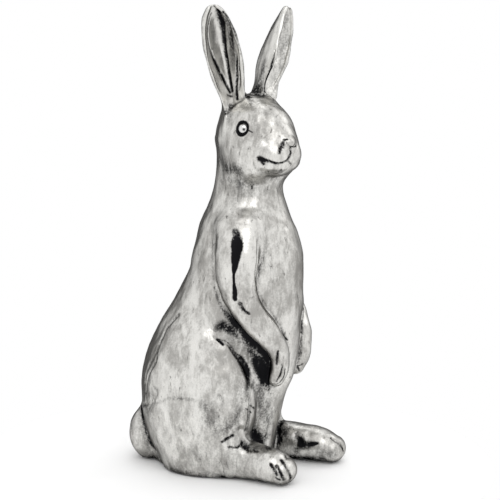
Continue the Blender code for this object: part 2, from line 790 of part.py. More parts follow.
def make_ears(head_skin, head, looks, steel):
    """Both ears, cut to the head, each on a dowel."""
    matrix = head_matrix()
    for name, side in SIDES:
        def field(points, side=side):
            return ear_field(points, side)

        root, length, along, _, _ = ear_axes(side)
        ends = [matrix @ Vector(root - along * length * EAR_TAIL), matrix @ Vector(root + along * length)]
        low = [min(pair) - EAR_MARGIN for pair in zip(*ends)]
        high = [max(pair) + EAR_MARGIN for pair in zip(*ends)]
        high[2] = ends[1].z + 0.004
        leaf = skin(f"ear_{name}_skin", field, low, high, 0.0011, 1100)
        ear = new_object(f"ear_{name}", leaf, matrix @ Vector(root), looks)
        seat(ear, f"ear_{name}", head_skin)
        ear.modifiers[-1].use_self = True
        start, end = (ear_place(place / length, side) for place in (-EAR_DOWEL_START, EAR_DOWEL_END))
        dowel(f"ear_dowel_{name}", start, end, (ear, head), steel, EAR_DOWEL_RADIUS)


def make_forelegs(body_skin, body, looks, steel):
    """Both forelegs, cut to the body, each on a dowel."""
    for name, side in SIDES:
        def field(points, side=side):
            return foreleg_field(points, side)

        rows = foreleg_rows(side)
        shoulder = Vector(rows[SHOULDER_ROW, :3])
        mesh = skin(f"foreleg_{name}_skin", field, *limb_box(rows), 0.0016, 800)
        leg = new_object(f"foreleg_{name}", mesh, shoulder, looks)
        seat(leg, f"foreleg_{name}", body_skin)
        for shift in PAW_GROOVES:
            path = [(side * 0.0240 + shift, y, z) for y, z in ((-0.0640, 0.1000), (-0.0600, 0.0900), (-0.0520, 0.0820))]
            cut(leg, f"digit_{name}_{PAW_GROOVES.index(shift)}", tube(settle(field, np.array(path), 4), GROOVE * 0.8))
        start = shoulder - Vector((side * SHOULDER_DOWEL_IN, 0, 0))
        end = shoulder + Vector((side * SHOULDER_DOWEL_OUT, 0, 0))
        dowel(f"foreleg_dowel_{name}", start, end, (leg, body), steel)


def make_feet(body_skin, body, looks, steel):
    """Both hind feet, cut to the body and flat below, each on a dowel."""
    for name, side in SIDES:
        def field(points, side=side):
            return foot_field(points, side)

        mesh = skin(f"hind_foot_{name}_skin", field, *limb_box(foot_rows(side)), 0.0018, 760)
        foot = new_object(f"hind_foot_{name}", mesh, (side * 0.0360, -0.0400, UNDERSIDE), looks)
        seat(foot, f"hind_foot_{name}", body_skin)
        cut(foot, f"hind_foot_{name}_sole", box((-0.08, -0.13, -0.03), (0.08, 0.08, UNDERSIDE)))
        tip = foot_rows(side)[-1]
        for index, shift in enumerate(TOE_GROOVES):
            path = [(tip[0] + shift, tip[1] + y, z) for y, z in ((0.006, 0.026), (-0.004, 0.024), (-0.009, 0.014))]
            cut(foot, f"toe_{name}_{index}", tube(settle(field, np.array(path), 4), GROOVE))
        dowel(
            f"foot_dowel_{name}",
            (side * 0.0345, -0.0300, 0.0170),
            (side * 0.0345, -0.0060, 0.0170),
            (foot, body),
            steel,
        )


def make_tail(body_skin, body, looks, steel):
    """The tail, cut to the body, on a dowel."""
    low, high = (np.array(TAIL_CENTRE) + sign * (np.array(TAIL_RADII) + LIMB_MARGIN) for sign in (-1, 1))
    mesh = skin("tail_skin", tail_field, low, high, 0.0018, 320)
    tail = new_object("tail", mesh, TAIL_CENTRE, looks)
    seat(tail, "tail", body_skin)
    cut(tail, "tail_sole", box((-0.08, 0.0, -0.03), (0.08, 0.13, UNDERSIDE)))
    dowel("tail_dowel", (0, 0.0700, 0.0260), (0, 0.0900, 0.0260), (tail, body), steel)


def make_base(body, plate_looks, steel):
    """The base plate in its rebate and its two countersunk screws."""
    low = UNDERSIDE + PLATE_SINK
    mesh = slab(PLATE_HALF_X, PLATE_HALF_Y, PLATE_CORNER, low, low + PLATE_THICKNESS, PLATE_CENTRE_Y)
    plate = new_object("base_plate", mesh, (0, PLATE_CENTRE_Y, low), plate_looks)
    for name, side in (("front", -1), ("rear", 1)):
        place = Vector((0, PLATE_CENTRE_Y + side * SCREW_REACH, low))
        screw = (
            (0, SCREW_HEAD_RADIUS),
            (SCREW_HEAD_HEIGHT, SCREW_RADIUS),
            (SCREW_LENGTH - 0.0008, SCREW_RADIUS),
            (SCREW_LENGTH, SCREW_RADIUS * 0.5),
        )
        made = new_object(f"base_screw_{name}", lathe(screw, place, (0, 0, 1), 24), place, steel)
        slot = box(place + Vector((-0.004, -0.0004, -0.001)), place + Vector((0.004, 0.0004, 0.0006)))
        cut(made, f"base_screw_{name}_slot", slot)
        clear = SCREW_CLEARANCE
        hole = (
            (-0.001, SCREW_HEAD_RADIUS + clear + 0.001),
            (SCREW_HEAD_HEIGHT, SCREW_RADIUS + clear),
            (SCREW_LENGTH + clear, SCREW_RADIUS + clear),
        )
        tool = helper(f"base_screw_{name}_hole", lathe(hole, place, (0, 0, 1), 24))
        combine(plate, f"screw_{name}", tool)
        thread = cylinder(place, place + Vector((0, 0, SCREW_LENGTH + clear)), SCREW_RADIUS + clear, 24)
        cut(body, f"thread_{name}", thread)


def make_pads(felt):
    """Four pads, which the hare stands on."""
    for name, (x, y) in PAD_PLACES.items():
        mesh = cylinder((x, y, 0), (x, y, PAD_THICKNESS), PAD_RADIUS)
        new_object(name, mesh, (x, y, 0), felt)


def stand_on_origin():
    """Moves everything so that the origin is under the middle of the bounding box."""
    graph = bpy.context.evaluated_depsgraph_get()
    corners = []
    for thing in bpy.context.scene.objects:
        if not thing.hide_render:
            evaluated = thing.evaluated_get(graph)
            corners.extend(evaluated.matrix_world @ Vector(corner) for corner in evaluated.bound_box)
    middle = [(min(c[axis] for c in corners) + max(c[axis] for c in corners)) / 2 for axis in (0, 1)]
    for thing in bpy.context.scene.objects:
        thing.location -= Vector((*middle, 0))


def main():
    clear_scene()
    silver = material("antique_silver", (0.78, 0.77, 0.75), 1.0, 0.28)
    polished = material("polished_eye", (0.72, 0.71, 0.69), 1.0, 0.15)
    steel = material("zinc_plated_steel", (0.60, 0.61, 0.63), 1.0, 0.35)
    felt = material("grey_felt", (0.16, 0.16, 0.17), 0.0, 0.95)
    body, body_skin = make_body(silver)
    head, head_skin = make_head(silver)
    add_face(head, silver, polished)
    make_ears(head_skin, head, silver, steel)
    make_forelegs(body_skin, body, silver, steel)
    make_feet(body_skin, body, silver, steel)
    make_tail(body_skin, body, silver, steel)
    make_base(body, steel, steel)
    make_pads(felt)
    sleeve_start = (*NECK_CENTRE, NECK_SEAM - SLEEVE_HALF_LENGTH)
    sleeve_end = (*NECK_CENTRE, NECK_SEAM + SLEEVE_HALF_LENGTH)
    sleeve = new_object("neck_sleeve", cylinder(sleeve_start, sleeve_end, SLEEVE_RADIUS, 48), (*NECK_CENTRE, NECK_SEAM), steel)
    hollow = cylinder(
        (*NECK_CENTRE, NECK_SEAM - 0.03),
        (*NECK_CENTRE, NECK_SEAM + 0.03),
        SLEEVE_RADIUS - SLEEVE_WALL,
        48,
    )
    cut(sleeve, "sleeve_hollow", hollow)
    stand_on_origin()


main()
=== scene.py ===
"""Seated hare ornament in antique silver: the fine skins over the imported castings, and a plain studio.

Lengths are metres. In the modeller's own space the hare faces -Y, its right side is -X and +Z is up.
Head points are given about the neck, before the head is turned. The finished meshes are moved by
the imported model's own offset, so that they stand where the castings do.
"""

import logging
import math
from collections.abc import Callable, Sequence
from dataclasses import dataclass, field
from enum import Enum

import bmesh
import bpy
import numpy as np
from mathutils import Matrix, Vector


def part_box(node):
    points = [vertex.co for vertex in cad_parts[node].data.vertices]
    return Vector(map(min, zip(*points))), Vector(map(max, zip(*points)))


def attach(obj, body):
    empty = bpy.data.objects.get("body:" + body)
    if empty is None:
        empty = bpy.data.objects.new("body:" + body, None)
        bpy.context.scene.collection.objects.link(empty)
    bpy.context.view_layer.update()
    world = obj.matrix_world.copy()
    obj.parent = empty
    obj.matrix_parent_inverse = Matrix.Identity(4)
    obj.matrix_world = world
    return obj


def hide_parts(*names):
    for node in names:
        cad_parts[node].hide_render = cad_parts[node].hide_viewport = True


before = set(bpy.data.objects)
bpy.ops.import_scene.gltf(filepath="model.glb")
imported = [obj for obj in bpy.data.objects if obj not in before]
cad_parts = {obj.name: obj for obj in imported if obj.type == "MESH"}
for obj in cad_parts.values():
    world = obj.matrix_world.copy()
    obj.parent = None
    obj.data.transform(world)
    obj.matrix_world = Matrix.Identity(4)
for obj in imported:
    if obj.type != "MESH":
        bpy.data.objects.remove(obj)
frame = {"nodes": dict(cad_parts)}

import openvdb
from mathutils import Matrix, Vector

LOG = logging.getLogger("hare")
FAR = 1.0
Field = Callable[[np.ndarray], np.ndarray]
Point = tuple[float, float, float]
Rows = tuple[tuple[float, ...], ...]


class Side(Enum):
    """The hare's own right and left."""

    RIGHT = -1
    LEFT = 1

    @property
    def word(self) -> str:
        """The side as it is written in a node's name."""
        return self.name.lower()


def blended(first: np.ndarray, second: np.ndarray, reach: np.ndarray | float) -> np.ndarray:
    """Joins two fields with a fillet.

    Args:
        first: Field values, negative inside.
        second: The other field's values.
        reach: How far the fillet reaches, as a number or a value for each point.

    Returns:
        The joined field's values.
    """
    share = np.clip(0.5 + 0.5 * (second - first) / reach, 0, 1)
    return second * (1 - share) + first * share - reach * share * (1 - share)


def rounded_cut(first: np.ndarray, second: np.ndarray, reach: float) -> np.ndarray:
    """The space that both fields hold, with its edge rounded."""
    return -blended(-first, -second, reach)


def smoothstep(values: np.ndarray, low: float, high: float) -> np.ndarray:
    """0 below low, 1 above high, and a smooth rise between them."""
    share = np.clip((values - low) / (high - low), 0, 1)
    return share * share * (3 - 2 * share)


def curved(rows: Sequence[Sequence[float]], steps: int) -> np.ndarray:
    """Fills a chain of rows in along a Catmull-Rom curve.

    Args:
        rows: The chain's own rows.
        steps: How many rows stand for each span.

    Returns:
        The finer chain.
    """
    rows = np.asarray(rows, float)
    ends = np.vstack([2 * rows[0] - rows[1], rows, 2 * rows[-1] - rows[-2]])
    filled = []
    for before, start, stop, after in zip(ends[:-3], ends[1:-2], ends[2:-1], ends[3:]):
        for step in range(steps):
            t = step / steps
            line = 2 * start + (stop - before) * t
            bend = (2 * before - 5 * start + 4 * stop - after) * t**2
            twist = (3 * start - before - 3 * stop + after) * t**3
            filled.append(0.5 * (line + bend + twist))
    filled.append(rows[-1])
    return np.array(filled)


def near_box(points: np.ndarray, low: np.ndarray, high: np.ndarray) -> np.ndarray:
    """How far each point lies outside a box."""
    return np.linalg.norm(np.maximum(np.maximum(low - points, points - high), 0), axis=1)


@dataclass(frozen=True)
class Egg:
    """An ellipsoid, tilted about the X axis."""

    centre: Point
    radii: Point
    tilt: float = 0.0

    def mirrored(self, side: Side) -> "Egg":
        """The same form on one side of the hare."""
        return Egg((side.value * self.centre[0], *self.centre[1:]), self.radii, self.tilt)

    def distance(self, points: np.ndarray) -> np.ndarray:
        """Distance to the surface, negative inside."""
        offset = points - np.array(self.centre)
        if self.tilt:
            c, s = math.cos(math.radians(self.tilt)), math.sin(math.radians(self.tilt))
            offset = offset @ np.array([[1, 0, 0], [0, c, s], [0, -s, c]])
        radii = np.array(self.radii)
        inner = np.linalg.norm(offset / radii, axis=1) + 1e-9
        slope = np.linalg.norm(offset / radii**2, axis=1) + 1e-9
        return inner * (inner - 1) / slope


@dataclass(frozen=True)
class Limb:
    """A chain of elliptical sections. A row holds x, y, z, the half-width along X and the half-depth."""

    rows: Rows
    cap: float
    steps: int = 6
    margin: float = 0.03

    def distance(self, points: np.ndarray) -> np.ndarray:
        """Distance to the surface where it is near, and to the limb's box elsewhere."""
        rows = curved(self.rows, self.steps)
        wide = rows[:, 3:].max()
        low, high = rows[:, :3].min(axis=0) - wide, rows[:, :3].max(axis=0) + wide
        best = near_box(points, low, high) + 0.2 * self.margin
        near = best < self.margin
        best[near] = self.around(points[near], rows)
        return best

    def around(self, points: np.ndarray, rows: np.ndarray) -> np.ndarray:
        """The distance to the section that stands at the nearest point of the centre line."""
        least = np.full(len(points), FAR)
        place = np.zeros(len(points))
        for index, (start, stop) in enumerate(zip(rows[:-1, :3], rows[1:, :3])):
            axis = stop - start
            offset = points - start
            share = np.clip(offset @ axis / (axis @ axis), 0, 1)
            away = ((offset - share[:, None] * axis) ** 2).sum(axis=1)
            closer = away < least
            least[closer] = away[closer]
            place[closer] = index + share[closer]
        steps = np.arange(len(rows))
        here = np.stack([np.interp(place, steps, column) for column in rows.T], axis=1)
        axes = np.gradient(rows[:, :3], axis=0)
        axis = np.stack([np.interp(place, steps, column) for column in axes.T], axis=1)
        axis /= np.linalg.norm(axis, axis=1)[:, None]
        across = np.array([1.0, 0, 0]) - axis[:, :1] * axis
        across /= np.linalg.norm(across, axis=1)[:, None]
        offset = points - here[:, :3]
        parts = (across, here[:, 3]), (np.cross(axis, across), here[:, 4]), (axis, self.cap)
        pairs = [((offset * direction).sum(axis=1), radius) for direction, radius in parts]
        inner = np.sqrt(sum((value / radius) ** 2 for value, radius in pairs)) + 1e-9
        slope = np.sqrt(sum((value / radius**2) ** 2 for value, radius in pairs)) + 1e-9
        return inner * (inner - 1) / slope


def mirrored_rows(rows: Rows, side: Side) -> Rows:
    """A limb's rows on one side of the hare."""
    return tuple((side.value * row[0], *row[1:]) for row in rows)


@dataclass(frozen=True)
class HeadTurn:
    """The turn of the head about the neck."""

    neck: tuple[float, float] = (0.0, -0.0145)
    degrees: float = -28.0

    def matrix(self) -> np.ndarray:
        """The turn alone, from the head's space to the hare's."""
        c, s = math.cos(math.radians(self.degrees)), math.sin(math.radians(self.degrees))
        return np.array([[c, -s, 0], [s, c, 0], [0, 0, 1]])

    def to_head(self, points: np.ndarray) -> np.ndarray:
        """Points of the hare's space in the head's own."""
        return (points - np.array([*self.neck, 0])) @ self.matrix()

    def to_hare(self, points: np.ndarray) -> np.ndarray:
        """Points of the head's space in the hare's."""
        return np.asarray(points, float) @ self.matrix().T + np.array([*self.neck, 0])


@dataclass(frozen=True)
class Trunk:
    """The upright body and neck. Each row holds z, the centre's y, the half-depth and the half-width."""

    rows: Rows = (
        (-0.010, 0.0180, 0.0500, 0.0400),
        (0.012, 0.0202, 0.0550, 0.0400),
        (0.025, 0.0225, 0.0602, 0.0400),
        (0.040, 0.0220, 0.0630, 0.0400),
        (0.055, 0.0210, 0.0650, 0.0405),
        (0.070, 0.0187, 0.0675, 0.0415),
        (0.085, 0.0143, 0.0695, 0.0425),
        (0.100, 0.0105, 0.0688, 0.0435),
        (0.115, 0.0061, 0.0661, 0.0445),
        (0.130, 0.0016, 0.0625, 0.0450),
        (0.145, -0.0041, 0.0584, 0.0450),
        (0.160, -0.0084, 0.0541, 0.0430),
        (0.175, -0.0121, 0.0502, 0.0410),
        (0.189, -0.0135, 0.0488, 0.0395),
        (0.203, -0.0135, 0.0453, 0.0370),
        (0.217, -0.0131, 0.0405, 0.0335),
        (0.231, -0.0135, 0.0345, 0.0300),
        (0.245, -0.0145, 0.0300, 0.0270),
        (0.262, -0.0145, 0.0272, 0.0240),
        (0.280, -0.0140, 0.0200, 0.0170),
    )
    haunch: Egg = Egg((0.0325, 0.0160, 0.0650), (0.0310, 0.0500, 0.0610))
    neck_seam: float = 0.243
    crease: float = 0.004
    flow: float = 0.026
    flow_over: tuple[float, float] = (-0.030, 0.020)

    def column(self, points: np.ndarray) -> np.ndarray:
        """Distance to the trunk without the haunches."""
        rows = curved(self.rows, 24)
        height = np.clip(points[:, 2], rows[0, 0], rows[-1, 0])
        centre, depth, width = (np.interp(height, rows[:, 0], rows[:, i]) for i in (1, 2, 3))
        flat = np.stack([points[:, 0] / width, (points[:, 1] - centre) / depth], axis=1)
        inner = np.linalg.norm(flat, axis=1) + 1e-9
        slope = np.sqrt((flat[:, 0] / width) ** 2 + (flat[:, 1] / depth) ** 2) + 1e-9
        ends = np.maximum(points[:, 2] - rows[-1, 0], rows[0, 0] - points[:, 2])
        return np.maximum(inner * (inner - 1) / slope, ends)

    def distance(self, points: np.ndarray) -> np.ndarray:
        """Distance to trunk and haunches, which are creased in front and flow in behind."""
        made = self.column(points)
        share = smoothstep(points[:, 1], *self.flow_over)
        reach = self.crease + (self.flow - self.crease) * share
        for side in Side:
            made = blended(made, self.haunch.mirrored(side).distance(points), reach)
        return made


@dataclass(frozen=True)
class Skull:
    """The head's forms, in the head's own space."""

    turn: HeadTurn = HeadTurn()
    dome: Egg = Egg((0.0, -0.0070, 0.2905), (0.0290, 0.0365, 0.0345))
    brow: Egg = Egg((0.0, -0.0260, 0.2955), (0.0190, 0.0192, 0.0190))
    muzzle: Egg = Egg((0.0, -0.0365, 0.2780), (0.0195, 0.0185, 0.0180))
    cheek: Egg = Egg((0.0150, -0.0190, 0.2750), (0.0150, 0.0210, 0.0190))
    lip: Egg = Egg((0.0080, -0.0455, 0.2790), (0.0088, 0.0085, 0.0080))
    nose: Egg = Egg((0.0, -0.0512, 0.2890), (0.0070, 0.0056, 0.0054))
    brow_flow: float = 0.012
    muzzle_flow: float = 0.014
    cheek_flow: float = 0.010
    lip_flow: float = 0.004
    nose_flow: float = 0.003

    def distance(self, points: np.ndarray) -> np.ndarray:
        """Distance to skull, brow, muzzle, cheeks, lips and nose."""
        local = self.turn.to_head(points)
        made = blended(self.dome.distance(local), self.brow.distance(local), self.brow_flow)
        made = blended(made, self.muzzle.distance(local), self.muzzle_flow)
        for side in Side:
            made = blended(made, self.cheek.mirrored(side).distance(local), self.cheek_flow)
            made = blended(made, self.lip.mirrored(side).distance(local), self.lip_flow)
        return blended(made, self.nose.distance(local), self.nose_flow)


@dataclass(frozen=True)
class Ear:
    """A leaf in the head's space, cupped into a trough that opens outwards, with a rolled rim.

    Each row holds a place along the leaf, and the half-width or the share of the cup there.
    """

    side: Side
    tip: Point
    outward: float
    cup: float
    turn: HeadTurn = HeadTurn()
    root: Point = (0.0125, 0.0035, 0.3150)
    widths: Rows = (
        (-0.22, 0.0060),
        (-0.10, 0.0078),
        (0.00, 0.0090),
        (0.12, 0.0106),
        (0.35, 0.0136),
        (0.55, 0.0150),
        (0.75, 0.0136),
        (0.90, 0.0098),
        (1.00, 0.0036),
    )
    cups: Rows = (
        (-0.22, 0.10),
        (0.00, 0.28),
        (0.20, 0.58),
        (0.45, 0.95),
        (0.72, 0.70),
        (0.92, 0.30),
        (1.00, 0.12),
    )
    wall: float = 0.0032
    root_wall: float = 0.0130
    rim: float = 0.0013
    rim_flow: float = 0.0012
    rim_fade: float = 0.004
    edge_round: float = 0.002
    end_round: float = 0.003
    margin: float = 0.033

    def axes(self) -> tuple[np.ndarray, float, np.ndarray, np.ndarray, np.ndarray]:
        """The root, the length and the directions along, across and through the leaf."""
        root = np.array([self.side.value * self.root[0], *self.root[1:]])
        along = np.array(self.tip) - root
        length = float(np.linalg.norm(along))
        along = along / length
        turn = math.radians(self.outward)
        facing = np.array([self.side.value * math.sin(turn), -math.cos(turn), 0.0])
        through = facing - facing @ along * along
        through /= np.linalg.norm(through)
        return root, length, along, np.cross(through, along), through

    def distance(self, points: np.ndarray) -> np.ndarray:
        """Distance to the leaf where it is near, and to its box elsewhere."""
        root, length, along, across, through = self.axes()
        local = self.turn.to_head(points)
        low = np.minimum(root, root + along * length) - self.margin
        high = np.maximum(root, root + along * length) + self.margin
        made = near_box(local, low, high) + self.margin / 3
        near = made <= self.margin / 3
        offset = local[near] - root
        made[near] = self.leaf(offset @ along / length, offset @ across, offset @ through, length)
        return made

    def leaf(self, share: np.ndarray, wide: np.ndarray, deep: np.ndarray, length: float) -> np.ndarray:
        """Distance to the leaf.

        Args:
            share: The place along the leaf, 0 at its root and 1 at its tip.
            wide: The place across it, in metres.
            deep: The place through it, towards the front.
            length: The leaf's length.

        Returns:
            The distance at each point.
        """
        rows = curved(self.widths, 16)
        half = np.interp(share, rows[:, 0], rows[:, 1])
        rows = curved(self.cups, 16)
        cup = self.cup * np.interp(share, rows[:, 0], rows[:, 1])
        place = np.clip(wide / half, -1.15, 1.15)
        soft = np.sqrt(place**2 + 0.01)
        middle = cup * (0.6 * place**2 + 0.4 * soft - 0.6)
        steep = cup / half * (1.2 * place + 0.4 * place / soft)
        thin = self.wall / 2
        thick = thin + (self.root_wall / 2 - thin) * (1 - smoothstep(share, -0.05, 0.30))
        sheet = np.abs(deep - middle) / np.sqrt(1 + steep**2) - thick
        edge = np.abs(wide) - half
        leaf = rounded_cut(sheet, edge, self.edge_round)
        roll = np.hypot(edge + self.rim * 0.8, deep - cup * 0.4) - self.rim
        fade = self.rim_fade * (1 - smoothstep(share, 0.02, 0.18))
        leaf = blended(leaf, roll + fade, self.rim_flow)
        ends = np.maximum(share - 1, self.widths[0][0] - share) * length
        return rounded_cut(leaf, ends, self.end_round)


@dataclass(frozen=True)
class Foreleg:
    """Upper arm, forearm and paw, held against the chest."""

    side: Side
    rows: Rows = (
        (0.0330, -0.0190, 0.2160, 0.0090, 0.0130),
        (0.0385, -0.0205, 0.2040, 0.0115, 0.0175),
        (0.0405, -0.0209, 0.1900, 0.0120, 0.0190),
        (0.0410, -0.0206, 0.1760, 0.0120, 0.0175),
        (0.0410, -0.0232, 0.1640, 0.0120, 0.0155),
        (0.0400, -0.0280, 0.1530, 0.0120, 0.0140),
        (0.0380, -0.0345, 0.1425, 0.0118, 0.0130),
        (0.0345, -0.0417, 0.1331, 0.0115, 0.0122),
        (0.0310, -0.0475, 0.1242, 0.0108, 0.0110),
        (0.0280, -0.0516, 0.1165, 0.0100, 0.0098),
        (0.0255, -0.0535, 0.1080, 0.0095, 0.0086),
        (0.0240, -0.0532, 0.0980, 0.0095, 0.0080),
        (0.0225, -0.0497, 0.0885, 0.0090, 0.0070),
    )
    cap: float = 0.008
    crease: float = 0.0025
    shoulder: float = 0.022
    shoulder_over: tuple[float, float] = (0.182, 0.224)

    def distance(self, points: np.ndarray) -> np.ndarray:
        """Distance to the whole limb."""
        return Limb(mirrored_rows(self.rows, self.side), self.cap).distance(points)

    def reach(self, points: np.ndarray) -> np.ndarray:
        """The fillet to the body: a crease at the forearm, a soft flow at the shoulder."""
        share = smoothstep(points[:, 2], *self.shoulder_over)
        return self.crease + (self.shoulder - self.crease) * share


@dataclass(frozen=True)
class HindFoot:
    """A long hind foot that lies flat. The left one is set further forward."""

    side: Side
    rows: Rows = (
        (0.0340, 0.0300, 0.0110, 0.0120, 0.0110),
        (0.0350, 0.0050, 0.0130, 0.0150, 0.0130),
        (0.0355, -0.0220, 0.0165, 0.0155, 0.0165),
        (0.0365, -0.0400, 0.0160, 0.0160, 0.0158),
        (0.0380, -0.0540, 0.0145, 0.0160, 0.0145),
        (0.0390, -0.0635, 0.0120, 0.0150, 0.0118),
    )
    forward: float = 0.0160
    forward_from: float = 0.03
    forward_over: float = 0.06
    cap: float = 0.0105
    crease: float = 0.004
    flow: float = 0.020
    back_over: tuple[float, float] = (-0.045, 0.0)
    outside_over: tuple[float, float] = (0.034, 0.050)

    def placed_rows(self) -> Rows:
        """The rows on this side, drawn forward on the left."""
        rows = np.array(mirrored_rows(self.rows, self.side))
        if self.side is Side.LEFT:
            rows[:, 1] -= self.forward * np.clip((self.forward_from - rows[:, 1]) / self.forward_over, 0, 1)
        return tuple(map(tuple, rows))

    def distance(self, points: np.ndarray) -> np.ndarray:
        """Distance to the foot."""
        return Limb(self.placed_rows(), self.cap).distance(points)

    def reach(self, points: np.ndarray) -> np.ndarray:
        """The fillet to the body: a crease in front, a soft flow behind and outside."""
        back = smoothstep(points[:, 1], *self.back_over)
        outside = smoothstep(self.side.value * points[:, 0], *self.outside_over)
        return self.crease + (self.flow - self.crease) * np.clip(back + 0.5 * outside, 0, 1)


@dataclass(frozen=True)
class Tail:
    """A short tail that lies up against the rump."""

    form: Egg = Egg((-0.0030, 0.0755, 0.0230), (0.0280, 0.0205, 0.0260))
    crease: float = 0.0070

    def distance(self, points: np.ndarray) -> np.ndarray:
        """Distance to the tail."""
        return self.form.distance(points)


def gradient(form: Field, points: np.ndarray, step: float = 2e-4) -> tuple[np.ndarray, np.ndarray]:
    """The value and slope of a field at these points, from four samples each."""
    corners = np.array([[1, 1, 1], [1, -1, -1], [-1, 1, -1], [-1, -1, 1]], float)
    values = [form(points + corner * step) for corner in corners]
    slope = sum(value[:, None] * corner for value, corner in zip(values, corners)) / (4 * step)
    return sum(values) / 4, slope


def settled(form: Field, points: np.ndarray, rounds: int = 2) -> np.ndarray:
    """Moves points onto the field's surface."""
    for _ in range(rounds):
        value, slope = gradient(form, points)
        points = points - (value / np.maximum((slope**2).sum(axis=1), 0.05))[:, None] * slope
    return points


@dataclass(frozen=True)
class View:
    """The photograph's camera, about the hare's own space."""

    azimuth: float = -67.0
    elevation: float = 10.3
    away: float = 1.52
    focal: float = 1763.0
    aside: float = 0.0146
    height: float = 0.191
    frame: float = 500.0
    ahead: float = 0.15
    past: float = 0.10
    marches: int = 70

    def axes(self) -> tuple[np.ndarray, np.ndarray, np.ndarray]:
        """The directions to the right, up and back to the camera."""
        a, e = math.radians(self.azimuth), math.radians(self.elevation)
        right = np.array([math.cos(a), math.sin(a), 0])
        back = np.array([math.sin(a) * math.cos(e), -math.cos(a) * math.cos(e), math.sin(e)])
        return right, np.cross(back, right), back

    def target(self) -> np.ndarray:
        """The point that the camera looks at."""
        return self.axes()[0] * self.aside + np.array([0, 0, self.height])

    def onto(self, form: Field, pixels: Sequence[tuple[float, float]]) -> np.ndarray:
        """Where the lines of sight through these pixels meet a form.

        Args:
            form: The field to meet.
            pixels: Places in the photograph's own 500 pixel frame.

        Returns:
            One point for each pixel.
        """
        right, up, back = self.axes()
        flat = (np.asarray(pixels, float) - self.frame / 2) / self.focal
        lines = flat[:, :1] * right - flat[:, 1:] * up - back
        lines /= np.linalg.norm(lines, axis=1)[:, None]
        start = self.target() + back * self.away
        reach = np.full(len(lines), self.away - self.ahead)
        for _ in range(self.marches):
            reach += np.clip(form(start + lines * reach[:, None]) * 0.8, -0.004, 0.01)
            reach = np.minimum(reach, self.away + self.past)
        return start + lines * reach[:, None]


Along = float | tuple[float, ...]


def spread(value: Along, places: np.ndarray) -> np.ndarray:
    """A value that is the same all along a mark, or changes from point to point."""
    values = np.atleast_1d(value)
    return np.interp(places, np.linspace(0, 1, len(values)), values)


@dataclass(frozen=True)
class Mark:
    """A tool mark or a patch of painted shade, drawn where the photograph shows it.

    A positive depth goes into the metal and a negative one stands proud. Tone is how black it is,
    and crisp how sharply it ends.
    """

    seen: tuple[tuple[float, float], ...]
    width: Along
    depth: Along
    tone: Along = 0.0
    both: bool = False
    crisp: float = 1.0


class Worked:
    """Marks laid on a form as lines in space."""

    def __init__(self, reach: float = 2.8, stain: float = 1.3) -> None:
        """Starts with no mark. A mark counts as far as reach, and its tone, painted shade included, spreads
        as far as the second setting, both in widths.
        """
        self.reach, self.stain = reach, stain
        self.lines: list[tuple[np.ndarray, Along, Along, Along, float]] = []

    def add(self, line: np.ndarray, width: Along, depth: Along, tone: Along, crisp: float) -> None:
        """Adds one mark along a line of points."""
        self.lines.append((line, width, depth, tone, crisp))

    def felt(self, points: np.ndarray) -> tuple[np.ndarray, np.ndarray]:
        """How deep and how black the marks are at these points."""
        depth, tone = np.zeros(len(points)), np.zeros(len(points))
        for line, widths, depths, tones, crisp in self.lines:
            pad = self.reach * np.max(widths)
            inside = ((points > line.min(axis=0) - pad) & (points < line.max(axis=0) + pad)).all(axis=1)
            index = np.flatnonzero(inside)
            if not len(index):
                continue
            away, place = nearest(points[index], line)
            share = (away / spread(widths, place)) ** 2
            depth[index] += np.exp(-share) * spread(depths, place)
            black = np.exp(-((share / self.stain**2) ** crisp)) * spread(tones, place)
            tone[index] = np.maximum(tone[index], black)
        return depth, tone


def nearest(points: np.ndarray, line: np.ndarray) -> tuple[np.ndarray, np.ndarray]:
    """How far each point is from a line of points, and how far along it, from 0 to 1."""
    if len(line) == 1:
        return np.linalg.norm(points - line[0], axis=1), np.zeros(len(points))
    away, place = np.full(len(points), FAR), np.zeros(len(points))
    for index, (start, stop) in enumerate(zip(line[:-1], line[1:])):
        axis = stop - start
        offset = points - start
        share = np.clip(offset @ axis / (axis @ axis + 1e-12), 0, 1)
        here = np.linalg.norm(offset - share[:, None] * axis, axis=1)
        closer = here < away
        away[closer] = here[closer]
        place[closer] = (index + share[closer]) / (len(line) - 1)
    return away, place


@dataclass(frozen=True)
class Dimples:
    """The unevenness of hand modelling: waves whose directions come from a fixed seed."""

    length: float
    height: float
    count: int
    seed: int

    def height_at(self, points: np.ndarray) -> np.ndarray:
        """How far the surface stands in or out at these points."""
        draw = np.random.default_rng(self.seed)
        turns = draw.normal(size=(self.count, 3))
        lengths = self.length * draw.uniform(0.7, 1.5, self.count)
        turns *= (2 * math.pi / lengths / np.linalg.norm(turns, axis=1))[:, None]
        phases = draw.uniform(0, 2 * math.pi, self.count)
        return self.height * np.sin(points @ turns.T + phases).sum(axis=1) / math.sqrt(self.count)
